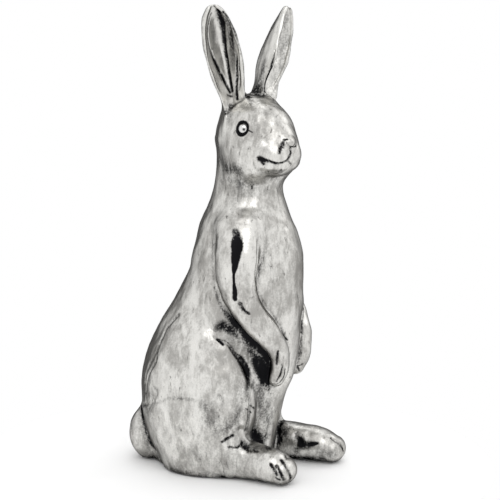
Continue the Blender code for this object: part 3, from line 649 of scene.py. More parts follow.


# In these tables, marks named for shade are painted shade: a dark tone with next to no depth.
FACE_MARKS = {
    "eye_corner": Mark(((248.5, 130.5), (252, 132.3)), 0.0006, 0.0006, 0.8, both=True),
    "nostril": Mark(
        ((287, 139), (284, 139.8), (282.3, 145), (281, 149), (279.5, 152.7)),
        (0.0007, 0.0010, 0.0013, 0.0014, 0.0010),
        0.0013,
        1.8,
    ),
    "nostril_floor": Mark(((284, 139.8), (282.3, 145)), 0.0008, 0.0002, 1.0, both=True),
    "nose_wing": Mark(((286, 142.5), (288.5, 145.5), (291, 148)), 0.0006, 0.0006, 0.9, both=True),
    "nose_base": Mark(((289, 146), (293, 147.3), (296, 145.5)), 0.0006, 0.0005, 0.8),
    "nose_to_lip": Mark(((291, 148), (291, 152.5), (289.5, 156.5), (287.8, 160)), 0.0008, 0.0009, 1.3),
    "mouth": Mark(
        ((259, 158.5), (262, 159.7), (266, 160.6), (270, 161.6), (275, 163), (281, 163), (287.5, 160.3)),
        (0.0018, 0.0017, 0.0012, 0.0010, 0.0009, 0.0008, 0.0008),
        0.0010,
        (1.2, 1.4, 1.3, 1.3, 1.3, 1.2, 1.1),
        crisp=1.4,
    ),
    "mouth_floor": Mark(
        ((262, 159.7), (266, 160.6), (270, 161.6), (274, 162.7)),
        0.0009,
        0.0003,
        1.0,
        both=True,
    ),
    "mouth_corner": Mark(((261.0, 161.5), (263.5, 164.0)), 0.0010, 0.0006, 0.9, both=True),
    "lip_nick": Mark(((287.5, 160.3), (290.5, 163.5)), 0.0006, 0.0006, 0.8),
    "lower_lip": Mark(((263, 166.5), (269, 168), (277, 168)), 0.0028, -0.0008, 0.0, both=True),
    "chin_hollow": Mark(((262, 172), (275, 178), (283, 176)), 0.0040, 0.0006, 0.15, both=True),
    # Painted shade: a soft dark oval under the chin.
    "chin_stain": Mark(
        ((269, 172.5), (275, 171.8), (281, 172)),
        (0.0030, 0.0042, 0.0032),
        0.0002,
        0.55,
        crisp=2.0,
    ),
    "brow_shade": Mark(((284, 111), (291, 121), (296, 133)), 0.0040, 0.0001, 0.32, both=True),
    "eye_shade": Mark(((250, 124), (258, 130), (262, 140)), 0.0060, 0.0001, 0.22, both=True),
    "cheek_pit": Mark(((233, 147),), 0.0008, 0.0004, 0.5),
    "jaw_shade": Mark(((219, 162), (225, 167), (237, 171)), 0.0058, 0.0002, 0.60, both=True),
    "throat_shade": Mark(((222, 178), (236, 180), (252, 183)), 0.0065, 0.0002, 0.32, both=True),
    "ear_crease": Mark(
        ((250, 97), (243, 99), (236, 103), (229, 109), (223, 118)),
        (0.0016, 0.0018, 0.0020, 0.0020, 0.0018),
        0.0003,
        (0.75, 0.55, 0.35, 0.40, 0.35),
        both=True,
    ),
}

EAR_MARKS = {
    "middle_groove": Mark(
        ((218, 11), (221, 20), (224, 35), (226, 54), (229, 72), (232, 91)),
        (0.0018, 0.0030, 0.0018, 0.0014, 0.0010, 0.0008),
        0.0010,
        1.5,
    ),
    "outer_fold": Mark(
        ((211, 50), (213, 57), (218, 68), (224, 80), (230.5, 92.5)),
        (0.0006, 0.0012, 0.0014, 0.0012, 0.0008),
        0.0009,
        (0.5, 1.2, 1.4, 1.3, 1.0),
    ),
    "inner_fold": Mark(
        ((236, 52), (237, 62), (237, 76), (236.3, 88), (237, 99)),
        (0.0007, 0.0011, 0.0012, 0.0011, 0.0010),
        0.0008,
        (0.5, 1.2, 1.3, 1.2, 1.3),
    ),
    "outer_rim": Mark(
        ((211.5, 13), (208.5, 22), (208, 35), (210, 50), (215, 65), (222, 80)),
        0.0006,
        0.0005,
        0.75,
    ),
    "inner_rim": Mark(
        ((223, 12), (231, 24), (236.5, 40), (239, 58), (239.5, 75), (239, 90)),
        0.0007,
        0.0005,
        (1.4, 1.2, 1.0, 0.8, 0.7, 0.6),
    ),
    "root_nick": Mark(((228, 95), (231.5, 96.5)), 0.0006, 0.0006, 0.9),
    "inner_shade": Mark(
        ((227, 22), (231, 38), (233, 52), (233, 70)),
        0.0038,
        0.0001,
        (0.95, 0.95, 0.75, 0.45),
    ),
    "outer_shade": Mark(((212, 18), (214, 34), (216, 50)), 0.0034, 0.0001, (0.25, 0.50, 0.45)),
    "lower_shade": Mark(((221, 60), (226, 78)), 0.0026, 0.0001, 0.35),
    "far_ear_shade": Mark(
        ((285, 18), (285, 45), (281, 64), (275, 84), (271, 94)),
        0.0062,
        0.0001,
        (0.55, 0.62, 0.50, 0.45, 0.45),
    ),
    "far_ear_fold": Mark(
        ((275, 50), (272, 64), (268, 78), (265, 91)),
        (0.0006, 0.0010, 0.0013, 0.0011),
        0.0008,
        (0.6, 1.2, 1.3, 1.3),
    ),
    "far_ear_root_shade": Mark(((264, 62), (261.5, 78), (258, 92)), 0.0034, 0.0003, (0.3, 0.65, 0.60)),
    "far_ear_front_shade": Mark(((268, 36), (260, 58), (255, 80)), 0.0026, 0.0001, 0.35),
}

ARM_MARKS = {
    # A real crease along the arm; where it runs under the forearm its black is painted shadow.
    "forearm_crease_painted_shadow": Mark(
        (
            (212, 240), (211.8, 256), (212.5, 272), (215.5, 290), (220, 304), (226.5, 314), (237, 325.5),
            (247.5, 337), (258.5, 347.5), (266.5, 357),
        ),
        (0.0008, 0.0008, 0.0009, 0.0012, 0.0018, 0.0026, 0.0038, 0.0042, 0.0046, 0.0044),
        (0.0003, 0.0004, 0.0005, 0.0006, 0.0008, 0.0010, 0.0010, 0.0010, 0.0010, 0.0010),
        (0.1, 0.25, 0.3, 0.40, 0.6, 0.95, 1.25, 1.3, 1.35, 1.4),
        both=True,
    ),
    "arm_front_crease": Mark(
        (
            (258, 240), (257, 256), (255.5, 272), (256.3, 288), (260.5, 301.5), (269.5, 315.5),
            (277.5, 325.5), (287, 340),
        ),
        (0.0010, 0.0008, 0.0008, 0.0008, 0.0007, 0.0007, 0.0007, 0.0007),
        0.0005,
        (0.05, 0.25, 0.6, 0.9, 0.8, 0.75, 0.7, 0.5),
        both=True,
    ),
    # A real hollow, blackened as painted shadow where the shadow under the forearm ends.
    "wrist_hollow_painted_shadow": Mark(((258.5, 361), (261, 370), (264.5, 378)), 0.0046, 0.0014, 1.6, both=True, crisp=1.4),
    "paw_hollow": Mark(((269, 358), (269.8, 367), (267.5, 378)), 0.0028, 0.0008, 1.5, both=True, crisp=1.4),
    "paw_end_shade": Mark(((261, 381), (267, 386), (273, 386)), 0.0016, 0.0003, 0.6, both=True),
    # A shallow hollow whose black is a painted dark reflection.
    "drip": Mark(
        (
            (235.0, 231), (236.5, 238), (236.8, 246), (236.0, 256), (234.8, 266), (233.6, 274), (233.8, 283),
            (234.6, 291), (234.6, 299),
        ),
        (0.0024, 0.0039, 0.0040, 0.0033, 0.0022, 0.0009, 0.0009, 0.0017, 0.0017),
        (0.0005, 0.0010, 0.0012, 0.0012, 0.0010, 0.0006, 0.0006, 0.0008, 0.0006),
        (0.9, 1.0, 2.0, 2.0, 2.0, 2.0, 2.0, 2.0, 1.8),
        crisp=2.6,
    ),
    "elbow_dash": Mark(((240, 304), (243, 309.5), (249, 313.8)), (0.0017, 0.0013, 0.0010), 0.0009, 1.1),
    "shoulder_swell": Mark(((232, 222), (238, 219)), 0.0075, -0.0008, 0.0, both=True),
    "arm_fleck": Mark(((226.5, 262), (226.8, 268)), 0.0010, 0.0003, 0.30),
    "elbow_wrinkle": Mark(((247, 301), (250, 298), (254, 297)), 0.0008, 0.0001, 0.45),
    "elbow_fleck": Mark(((246, 290), (247, 292)), 0.0008, 0.0004, 0.40),
    "first_claw": Mark(((278, 351.5), (277.2, 358), (276.5, 364)), 0.0009, 0.0008, 1.0, both=True),
    "second_claw": Mark(((282, 368), (280.3, 375), (276.5, 381.5)), 0.0007, 0.0007, 0.95, both=True),
    "third_claw": Mark(
        ((285.5, 369), (283.5, 377), (279, 383), (272, 384.5)),
        0.0006,
        0.0006,
        0.9,
        both=True,
    ),
    "far_paw_claw": Mark(((303, 364), (299.5, 371), (294, 376.3), (290, 377)), 0.0007, 0.0007, 0.9),
    "far_paw_slit": Mark(((302, 371), (297, 375)), 0.0006, 0.0005, 0.9),
}

BODY_MARKS = {
    "flank_hollow": Mark(
        ((215, 329), (223, 326), (231, 330), (239, 337), (247, 346), (256, 357)),
        (0.0026, 0.0044, 0.0046, 0.0036, 0.0030, 0.0040),
        0.0011,
        (0.30, 1.20, 1.00, 0.60, 0.50, 0.95),
        both=True,
    ),
    "haunch_crease": Mark(
        (
            (214, 337), (218, 340), (227, 343), (234, 353.5), (240, 359), (246, 370), (249, 382), (247, 391),
            (250, 401), (249, 415), (246, 430),
        ),
        (0.0010, 0.0010, 0.0010, 0.0012, 0.0022, 0.0026, 0.0022, 0.0014, 0.0012, 0.0014, 0.0018),
        (0.0004, 0.0006, 0.0008, 0.0012, 0.0016, 0.0016, 0.0012, 0.0010, 0.0008, 0.0008, 0.0008),
        (0.1, 0.25, 0.3, 0.4, 1.2, 1.3, 0.9, 0.4, 0.3, 0.4, 0.5),
        both=True,
    ),
    "haunch_nick": Mark(((218, 340), (223, 344.5)), 0.0009, 0.0008, 1.0),
    "belly_shade": Mark(((232, 340), (244, 349), (254, 362)), 0.0075, 0.0001, 0.36, both=True),
    "haunch_swell": Mark(((203, 337), (211, 345), (222, 352)), 0.0060, -0.0014, 0.0, both=True),
    "ankle_crease": Mark(
        ((222, 442), (228, 438), (233, 435.3)),
        (0.0008, 0.0013, 0.0009),
        0.0007,
        0.65,
        both=True,
    ),
    "ankle_knob": Mark(((238.5, 424.5),), 0.0030, -0.0016, 0.0, both=True),
    "ankle_ridge": Mark(((241, 433), (247, 441)), 0.0022, -0.0008, 0.0, both=True),
    "ankle_fold": Mark(((226, 430), (232, 425), (236, 416)), 0.0013, 0.0006, 0.4, both=True),
    "ankle_line": Mark(((229, 447), (236, 448), (241, 446)), 0.0010, 0.0005, 0.35),
    "instep_crease": Mark(
        ((243, 444), (249, 449), (257, 451)),
        (0.0018, 0.0026, 0.0016),
        0.0007,
        0.55,
        both=True,
    ),
    "haunch_ripple": Mark(((203, 401), (206, 409), (204.5, 417)), 0.0016, 0.0003, 0.35),
    "haunch_ripple_top": Mark(((218, 395), (223, 402), (219, 410)), 0.0012, 0.0003, 0.25),
    "first_toe": Mark(((270.5, 464.5), (274, 469.5), (277, 474.5)), 0.0011, 0.0012, 0.95, both=True),
    "second_toe": Mark(((276.5, 466), (280.5, 473), (283.8, 480)), 0.0010, 0.0012, 1.0, both=True),
    "third_toe": Mark(((281.5, 460.5), (287, 469), (291, 479)), 0.0011, 0.0012, 1.0, both=True),
    "toe_tip": Mark(((276, 478), (280, 480)), 0.0008, 0.0005, 0.8),
    # A dark line along the underside of the foot, next to the floor.
    "sole_stain": Mark(((222, 476.5), (230, 479), (241, 481)), 0.0010, 0.0003, 0.5),
    "far_foot_hollow": Mark(
        ((299, 440), (302, 444), (308, 444.5), (317, 443.5)),
        (0.0030, 0.0034, 0.0024, 0.0010),
        0.0010,
        1.2,
    ),
    "far_foot_side_shade": Mark(((288, 455), (304, 458), (322, 458)), 0.0040, 0.0002, 0.50),
    "far_foot_root_shade": Mark(((297, 434), (297, 452)), 0.0022, 0.0004, 0.60),
    "far_toe": Mark(((331, 438.5), (336, 442), (340, 444.7), (343.5, 451)), 0.0009, 0.0008, 0.9),
    "gap_between_feet": Mark(((280.5, 424), (281, 440), (286, 457)), 0.0016, 0.0006, 0.6),
    "far_foot_top_shade": Mark(((288, 430), (290, 450)), 0.0040, 0.0002, 0.35),
    "far_foot_low_shade": Mark(((320, 452), (332, 455)), 0.0030, 0.0002, 0.35),
    "shin_scratch": Mark(((246, 408.5), (251, 412.5)), 0.0006, 0.0006, 0.9),
    "shin_scratch_top": Mark(((249, 404.5), (254.5, 408.5)), 0.0006, 0.0006, 0.9),
    "shin_line": Mark(((268.5, 388), (270, 403)), 0.0012, 0.0003, 0.55),
    "shin_shade": Mark(((262, 384), (264, 402), (266, 424)), 0.0085, 0.0002, (0.62, 0.50, 0.50)),
    "shin_foot_shade": Mark(((254, 424), (259, 441)), 0.0044, 0.0003, 0.60),
    "shin_inner_shade": Mark(((269, 434), (269, 449)), 0.0036, 0.0003, 0.60),
    "haunch_foot_shade": Mark(((208, 420), (222, 428), (232, 424)), 0.0070, 0.0002, 0.42, both=True),
    "instep_shade": Mark(((244, 446), (262, 449), (272, 449)), 0.0032, 0.0002, 0.30),
    "haunch_pit_shade": Mark(((203, 405), (212, 412), (222, 424)), 0.0045, 0.0002, 0.35),
    "haunch_edge_shade": Mark(
        ((244, 372), (246, 388), (243, 402), (236, 418)),
        0.0060,
        0.0001,
        (0.25, 0.35, 0.40, 0.40),
    ),
    "flank_line": Mark(
        ((178, 315), (167, 327), (164, 333), (156, 352), (147, 370), (145, 382)),
        0.0016,
        0.0009,
        0.45,
        both=True,
    ),
    "rump_line": Mark(((157, 352), (156, 362), (148, 376), (146, 392), (146, 404)), 0.0013, 0.0007, 0.40),
    "rump_shade": Mark(((147, 392), (152, 400), (147, 412)), 0.0040, 0.0002, 0.30),
    "haunch_wave": Mark(((143, 405), (158, 402), (170, 398), (196, 400)), 0.0014, 0.0005, 0.30),
    "rump_wave": Mark(((153, 387), (157, 391), (154, 400), (148, 408)), 0.0013, 0.0005, 0.30, both=True),
    "tail_crease": Mark(
        ((141.5, 405), (143, 418), (146, 430), (152, 445), (160, 460), (163, 467)),
        0.0011,
        0.0008,
        0.60,
    ),
}


@dataclass
class Hare:
    """The whole sculpture as one field, with the marks on it and the space that each casting owns.

    A lid ring holds its radius in lids, then a mark's width, depth, tone and crisp. The pocket holds the
    y of its middle, its half-width, its half-depth and its top. Hollows and ridges hold how far off to
    look for a hollow or a ridge, and how much it counts.
    """

    underside: float = 0.0013
    head_from: float = 0.215
    neck_flow: float = 0.014
    ear_flow: float = 0.008
    marked_within: float = 0.012
    view: View = View()
    trunk: Trunk = Trunk()
    skull: Skull = Skull()
    ears: tuple[Ear, ...] = (
        Ear(Side.RIGHT, (-0.0412, -0.0037, 0.4018), 35.0, 0.016),
        Ear(Side.LEFT, (0.0402, -0.0037, 0.3990), 27.0, 0.020),
    )
    forelegs: tuple[Foreleg, ...] = tuple(Foreleg(side) for side in Side)
    feet: tuple[HindFoot, ...] = tuple(HindFoot(side) for side in Side)
    tail: Tail = Tail()
    swell: Dimples = Dimples(0.024, 0.00038, 9, 3)
    ripple: Dimples = Dimples(0.0075, 0.00008, 12, 8)
    eye_point: Point = (0.0248, -0.0228, 0.3005)
    lid_radius: float = 0.0051
    lid_rings: Rows = ((1.0, 0.0012, 0.0011, 2.0, 1.6), (1.38, 0.0010, -0.0005, 0.0, 1.0))
    pocket: tuple[float, float, float, float] = (0.0250, 0.0173, 0.0313, 0.0039)
    hollows: Rows = ((0.0016, 0.5), (0.0045, 0.9), (0.0100, 0.8))
    ridges: Rows = ((0.0016, 0.8), (0.0045, 0.6))
    worked: Worked = field(default_factory=Worked)

    def parts(self, points: np.ndarray) -> dict[str, np.ndarray]:
        """Each form's own field at these points, under its casting's name, and the core's."""
        core = self.trunk.distance(points)
        high = points[:, 2] > self.head_from
        core[high] = blended(core[high], self.skull.distance(points[high]), self.neck_flow)
        made = {"core": core, "tail": self.tail.distance(points)}
        for name, forms in (("ear", self.ears), ("foreleg", self.forelegs), ("hind_foot", self.feet)):
            made |= {f"{name}_{form.side.word}": form.distance(points) for form in forms}
        return made

    def joined(self, points: np.ndarray, made: dict[str, np.ndarray]) -> np.ndarray:
        """The whole form before any tool mark, from the fields of its parts."""
        whole = made["core"]
        for leg in self.forelegs:
            whole = blended(whole, made[f"foreleg_{leg.side.word}"], leg.reach(points))
        for foot in self.feet:
            whole = blended(whole, made[f"hind_foot_{foot.side.word}"], foot.reach(points))
        whole = blended(whole, made["tail"], self.tail.crease)
        for ear in self.ears:
            whole = blended(whole, made[f"ear_{ear.side.word}"], self.ear_flow)
        return whole

    def smooth(self, points: np.ndarray) -> np.ndarray:
        """The whole form before any tool mark."""
        return self.joined(points, self.parts(points))

    def finished(self, points: np.ndarray, made: dict[str, np.ndarray]) -> np.ndarray:
        """The form with its unevenness and its marks."""
        whole = self.joined(points, made)
        near = np.flatnonzero(np.abs(whole) < self.marked_within)
        some = points[near]
        whole[near] += self.swell.height_at(some) + self.ripple.height_at(some) + self.worked.felt(some)[0]
        return whole

    def skin(self, points: np.ndarray) -> np.ndarray:
        """The finished surface's field."""
        return self.finished(points, self.parts(points))

    def owned(self, node: str, points: np.ndarray) -> tuple[np.ndarray, np.ndarray]:
        """The finished surface's field, and that of the space which one casting owns.

        Args:
            node: The casting's name.
            points: Where to work both out.

        Returns:
            Two arrays of values, negative inside.
        """
        made = self.parts(points)
        lean = {name: (values - made["core"]) / 2 for name, values in made.items() if name != "core"}
        rise, above = points[:, 2] - self.trunk.neck_seam, self.underside - points[:, 2]
        if node == "head_casting":
            cuts = [-rise, *(-values for name, values in lean.items() if name.startswith("ear"))]
        elif node == "body_casting":
            others = (-values for name, values in lean.items() if not name.startswith("ear"))
            cuts = [rise, above, self.plate_pocket(points), *others]
        else:
            cuts = [lean[node], above]
        return self.finished(points, made), np.maximum.reduce(cuts)

    def plate_pocket(self, points: np.ndarray) -> np.ndarray:
        """Positive inside the pocket that the base plate sits in."""
        middle, wide, deep, top = self.pocket
        outside = [np.abs(points[:, 0]) - wide, np.abs(points[:, 1] - middle) - deep, points[:, 2] - top]
        return -np.maximum.reduce(outside)

    def work(self) -> None:
        """Lays every mark on the smooth form, and its twin on the other side where it has one."""
        marks = [mark for group in (FACE_MARKS, EAR_MARKS, ARM_MARKS, BODY_MARKS) for mark in group.values()]
        counts = [len(mark.seen) for mark in marks]
        places = self.view.onto(self.smooth, [pixel for mark in marks for pixel in mark.seen])
        lines, laid = [], []
        for mark, line in zip(marks, np.split(places, np.cumsum(counts)[:-1])):
            fine = curved(line, 3) if len(line) > 1 else line
            lines += [fine, self.opposite(fine)] if mark.both else [fine]
            laid += [(mark.width, mark.depth, mark.tone, mark.crisp)] * (2 if mark.both else 1)
        for side in Side:
            for radius, *values in self.lid_rings:
                lines.append(self.lid(side, radius))
                laid.append(tuple(values))
        ends = np.cumsum([len(line) for line in lines])[:-1]
        for line, values in zip(np.split(settled(self.smooth, np.vstack(lines), 4), ends), laid):
            self.worked.add(line, *values)

    def opposite(self, line: np.ndarray) -> np.ndarray:
        """The same line on the hare's other side, mirrored in the head's own space above the neck."""
        flip = np.array([-1, 1, 1])
        if line[:, 2].mean() > self.trunk.neck_seam:
            turn = self.skull.turn
            return turn.to_hare(turn.to_head(line) * flip)
        return line * flip

    def eye_frame(self, side: Side) -> tuple[np.ndarray, np.ndarray]:
        """The middle of an eye on the form, and the direction it looks in."""
        point = self.skull.turn.to_hare([(side.value * self.eye_point[0], *self.eye_point[1:])])
        point = settled(self.smooth, point, 4)
        outward = gradient(self.smooth, point)[1][0]
        return point[0], outward / np.linalg.norm(outward)

    def lid(self, side: Side, radius: float) -> np.ndarray:
        """A ring round an eye, as large as this many lids."""
        middle, outward = self.eye_frame(side)
        level = np.cross(outward, [0, 0, 1])
        level /= np.linalg.norm(level)
        rise = np.cross(level, outward)
        turns = np.linspace(0, 2 * math.pi, 33)[:, None]
        return middle + radius * self.lid_radius * (np.cos(turns) * level + 1.06 * np.sin(turns) * rise)

    def aged(self, points: np.ndarray, slope: np.ndarray) -> tuple[np.ndarray, np.ndarray]:
        """How black the oxide and the painted shade lie at points of the surface, and how far the oxide is
        rubbed off.
        """
        sunk, worn = 0, 0
        for reach, weight in self.hollows:
            sunk = sunk + weight * np.clip(1 - self.skin(points + slope * reach) / reach, 0, 1)
        for reach, weight in self.ridges:
            worn = worn + weight * np.clip(1 + self.skin(points - slope * reach) / reach, 0, 1)
        depth = -points[:, 2]
        # Painted shade: the metal is drawn darker towards the floor, most within the last few millimetres
        # above it.
        painted_low_shade = 0.5 * smoothstep(depth, -0.0080, -0.0015) + 0.16 * smoothstep(depth, -0.110, -0.010)
        black = np.clip(sunk - 0.25 * worn, 0, 1) ** 1.2 * 0.75 + self.worked.felt(points)[1] + painted_low_shade
        return np.clip(black, 0, 2), np.clip(worn, 0, 1)


@dataclass(frozen=True)
class Casting:
    """One casting: the part of the sculpture that it owns, meshed at its own fineness."""

    hare: Hare
    node: str
    low: np.ndarray
    high: np.ndarray
    step: float
    most_faces: int = 190000
    block: int = 4
    band: float = 0.0012
    batch: int = 3000

    def fields(self, points: np.ndarray) -> tuple[np.ndarray, np.ndarray]:
        """The sculpture's field and that of this casting's own space."""
        return self.hare.owned(self.node, points)

    def sampled(self) -> np.ndarray:
        """Values on the casting's grid, worked out finely only near its surface."""
        block = self.block
        blocks = np.ceil((self.high - self.low) / (self.step * block)).astype(int)
        corners = np.stack(np.meshgrid(*map(np.arange, blocks), indexing="ij"), axis=-1).reshape(-1, 3)
        middles = self.low + (corners + 0.5 - 0.5 / block) * block * self.step
        coarse = np.maximum(*self.fields(middles))
        values = np.repeat(coarse.astype(np.float32), block**3).reshape(-1, block, block, block)
        active = np.flatnonzero(np.abs(coarse) < 1.15 * block * self.step + self.band)
        inner = np.stack(np.meshgrid(*[np.arange(block)] * 3, indexing="ij"), axis=-1).reshape(-1, 3)
        for part in np.array_split(active, max(1, len(active) // self.batch)):
            places = (corners[part][:, None, :] * block + inner[None]).reshape(-1, 3) * self.step + self.low
            values[part] = np.maximum(*self.fields(places)).reshape(-1, block, block, block)
        shape = values.reshape(*blocks, block, block, block).transpose(0, 3, 1, 4, 2, 5)
        return np.ascontiguousarray(shape.reshape(blocks * block))

    def skin(self) -> tuple[np.ndarray, np.ndarray]:
        """Points and faces of the casting's closed surface."""
        grid = openvdb.FloatGrid(background=FAR)
        grid.copyFromArray(self.sampled())
        points, faces = grid.convertToQuads(isovalue=0.0)
        points = points * self.step + self.low
        if 2 * len(faces) > self.most_faces:
            points, faces = collapsed(points, faces, self.most_faces)
        return self.fitted(points), faces

    def fitted(self, points: np.ndarray) -> np.ndarray:
        """Settles points on the sculpture, on the cut, or on the seam where both meet."""
        corners = np.array([[1, 1, 1], [1, -1, -1], [-1, 1, -1], [-1, -1, 1]], float)
        reach = 2e-4
        pairs = [self.fields(points + corner * reach) for corner in corners]
        (outer, rise), (inner, lean) = (
            (sum(values) / 4, sum(v[:, None] * c for v, c in zip(values, corners)) / (4 * reach))
            for values in zip(*pairs)
        )
        a, b, c = (rise**2).sum(axis=1), (lean**2).sum(axis=1), (rise * lean).sum(axis=1)
        divisor = np.maximum(a * b - c * c, 0.05 * a * b + 1e-9)
        first, second = (outer * b - inner * c) / divisor, (inner * a - outer * c) / divisor
        both = first[:, None] * rise + second[:, None] * lean
        seam = np.linalg.norm(both, axis=1) < 0.6 * self.step
        on_skin = (outer / np.maximum(a, 0.05))[:, None] * rise
        on_cut = (inner / np.maximum(b, 0.05))[:, None] * lean
        move = np.where((outer > inner)[:, None], on_skin, on_cut)
        move[seam] = both[seam]
        long = np.linalg.norm(move, axis=1)
        move *= np.minimum(1, self.step / np.maximum(long, 1e-9))[:, None]
        return points - move

    def build(self, offset: np.ndarray, finish: bpy.types.Material) -> bpy.types.Object:
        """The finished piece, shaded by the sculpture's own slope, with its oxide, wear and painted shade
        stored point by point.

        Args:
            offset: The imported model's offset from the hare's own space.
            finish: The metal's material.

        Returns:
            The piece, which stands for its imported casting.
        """
        points, faces = self.skin()
        _, slope = gradient(self.hare.skin, points)
        slope /= np.linalg.norm(slope, axis=1)[:, None] + 1e-12
        black, worn = self.hare.aged(points, slope)
        made = bpy.data.meshes.new(f"{self.node}_skin")
        made.from_pydata((points + offset).tolist(), [], faces.tolist())
        made.shade_smooth()
        made.normals_split_custom_set_from_vertices(slope.tolist())
        # The oxide attribute carries the painted shade too.
        for name, values in (("oxide", black), ("worn", worn)):
            made.attributes.new(name, "FLOAT", "POINT").data.foreach_set("value", values.astype(np.float32))
        return fitted_piece(made, finish, "antique_silver", self.node)


def fitted_piece(
    mesh: bpy.types.Mesh, finish: bpy.types.Material, slot: str, *nodes: str
) -> bpy.types.Object:
    """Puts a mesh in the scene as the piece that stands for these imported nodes."""
    mesh.materials.append(finish)
    piece = bpy.data.objects.new(mesh.name, mesh)
    bpy.context.scene.collection.objects.link(piece)
    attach(piece, "root")
    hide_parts(*nodes)
    LOG.info("%s: %d faces", piece.name, len(mesh.polygons))
    return piece


def collapsed(points: np.ndarray, faces: np.ndarray, most: int) -> tuple[np.ndarray, np.ndarray]:
    """Collapses a mesh to about this many triangles."""
    dense = bpy.data.meshes.new("dense")
    dense.from_pydata(points.tolist(), [], faces.tolist())
    holder = bpy.data.objects.new("dense", dense)
    bpy.context.scene.collection.objects.link(holder)
    modifier = holder.modifiers.new("collapse", "DECIMATE")
    modifier.ratio = most / (2 * len(faces))
    made = bpy.data.meshes.new_from_object(holder.evaluated_get(bpy.context.evaluated_depsgraph_get()))
    places = np.empty(len(made.vertices) * 3)
    made.vertices.foreach_get("co", places)
    made.calc_loop_triangles()
    corners = np.empty(len(made.loop_triangles) * 3, np.int32)
    made.loop_triangles.foreach_get("vertices", corners)
    bpy.data.objects.remove(holder)
    bpy.data.meshes.remove(dense)
    bpy.data.meshes.remove(made)
    return places.reshape(-1, 3), corners.reshape(-1, 3)


@dataclass(frozen=True)
class Castings:
    """The nine castings that show, and how finely each is meshed."""

    hare: Hare
    offset: np.ndarray
    body_corners: tuple[Point, Point] = ((-0.066, -0.072, 0.0), (0.066, 0.090, 0.243))
    head_corners: tuple[Point, Point] = ((-0.044, -0.070, 0.243), (0.044, 0.034, 0.338))
    body_pad: float = 0.0025
    head_pad: float = 0.003
    ear_pad: float = 0.021
    leg_pad: float = 0.021
    foot_pad: float = 0.019
    tail_pad: float = 0.030
    ear_bottom: float = 0.300
    lowest: float = -0.0025
    body_step: float = 0.00095
    head_step: float = 0.00065
    limb_step: float = 0.00065
    coarser: float = 1.9

    def all(self) -> list[Casting]:
        """Every casting with the box it lies in."""
        turn = self.hare.skull.turn
        boxes = {
            "body_casting": (self.body_corners, self.body_pad, self.body_step),
            "head_casting": (self.head_corners, self.head_pad, self.head_step),
        }
        for ear in self.hare.ears:
            ends = turn.to_hare([(ear.side.value * ear.root[0], ear.root[1], self.ear_bottom), ear.tip])
            boxes[f"ear_{ear.side.word}"] = (ends, self.ear_pad, self.limb_step)
        for leg in self.hare.forelegs:
            rows = np.array(mirrored_rows(leg.rows, leg.side))[:, :3]
            boxes[f"foreleg_{leg.side.word}"] = (rows, self.leg_pad, self.limb_step)
        for foot in self.hare.feet:
            rows = np.array(foot.placed_rows())[:, :3]
            boxes[f"hind_foot_{foot.side.word}"] = (rows, self.foot_pad, self.limb_step)
        boxes["tail"] = ([self.hare.tail.form.centre], self.tail_pad, self.limb_step)
        scale = 1.0
        made = []
        for node, (corners, pad, step) in boxes.items():
            low, high = np.min(corners, axis=0) - pad, np.max(corners, axis=0) + pad
            low[2] = max(low[2], self.lowest)
            made.append(Casting(self.hare, node, low, high, step * scale))
        return made

    def build(self, finish: bpy.types.Material) -> None:
        """Makes every casting's skin."""
        for casting in self.all():
            casting.build(self.offset, finish)


@dataclass(frozen=True)
class Eyes:
    """Two polished balls set in the lids, each with a small drilled pupil."""

    hare: Hare
    offset: np.ndarray
    radius: float = 0.0044
    sunk: float = 0.0024
    pupil: float = 0.0016
    pupil_depth: float = 0.0005
    glance: Point = (0.0, -0.95, -0.28)

    def build(self, finish: bpy.types.Material) -> None:
        """Makes both eyes."""
        for side in Side:
            fitted_piece(self.ball(side), finish, "polished_eye", f"eye_{side.word}")

    def ball(self, side: Side) -> bpy.types.Mesh:
        """One eye's mesh, with the pupil's black in its oxide attribute."""
        middle, outward = self.hare.eye_frame(side)
        gaze = outward + self.hare.skull.turn.matrix() @ np.array(self.glance)
        gaze /= np.linalg.norm(gaze)
        shape = bmesh.new()
        bmesh.ops.create_icosphere(shape, subdivisions=6, radius=1.0)
        made = bpy.data.meshes.new(f"eye_{side.word}_ball")
        shape.to_mesh(made)
        shape.free()
        spots = np.empty(len(made.vertices) * 3)
        made.vertices.foreach_get("co", spots)
        spots = spots.reshape(-1, 3)
        away = np.linalg.norm(spots - gaze, axis=1) * self.radius
        dent = np.exp(-((away / self.pupil) ** 2))
        places = middle - outward * self.sunk + spots * (self.radius - self.pupil_depth * dent)[:, None]
        made.vertices.foreach_set("co", (places + self.offset).ravel().astype(np.float32))
        made.shade_smooth()
        black = made.attributes.new("oxide", "FLOAT", "POINT")
        black.data.foreach_set("value", (1.3 * dent).astype(np.float32))
        return made


Colour = tuple[float, float, float, float]


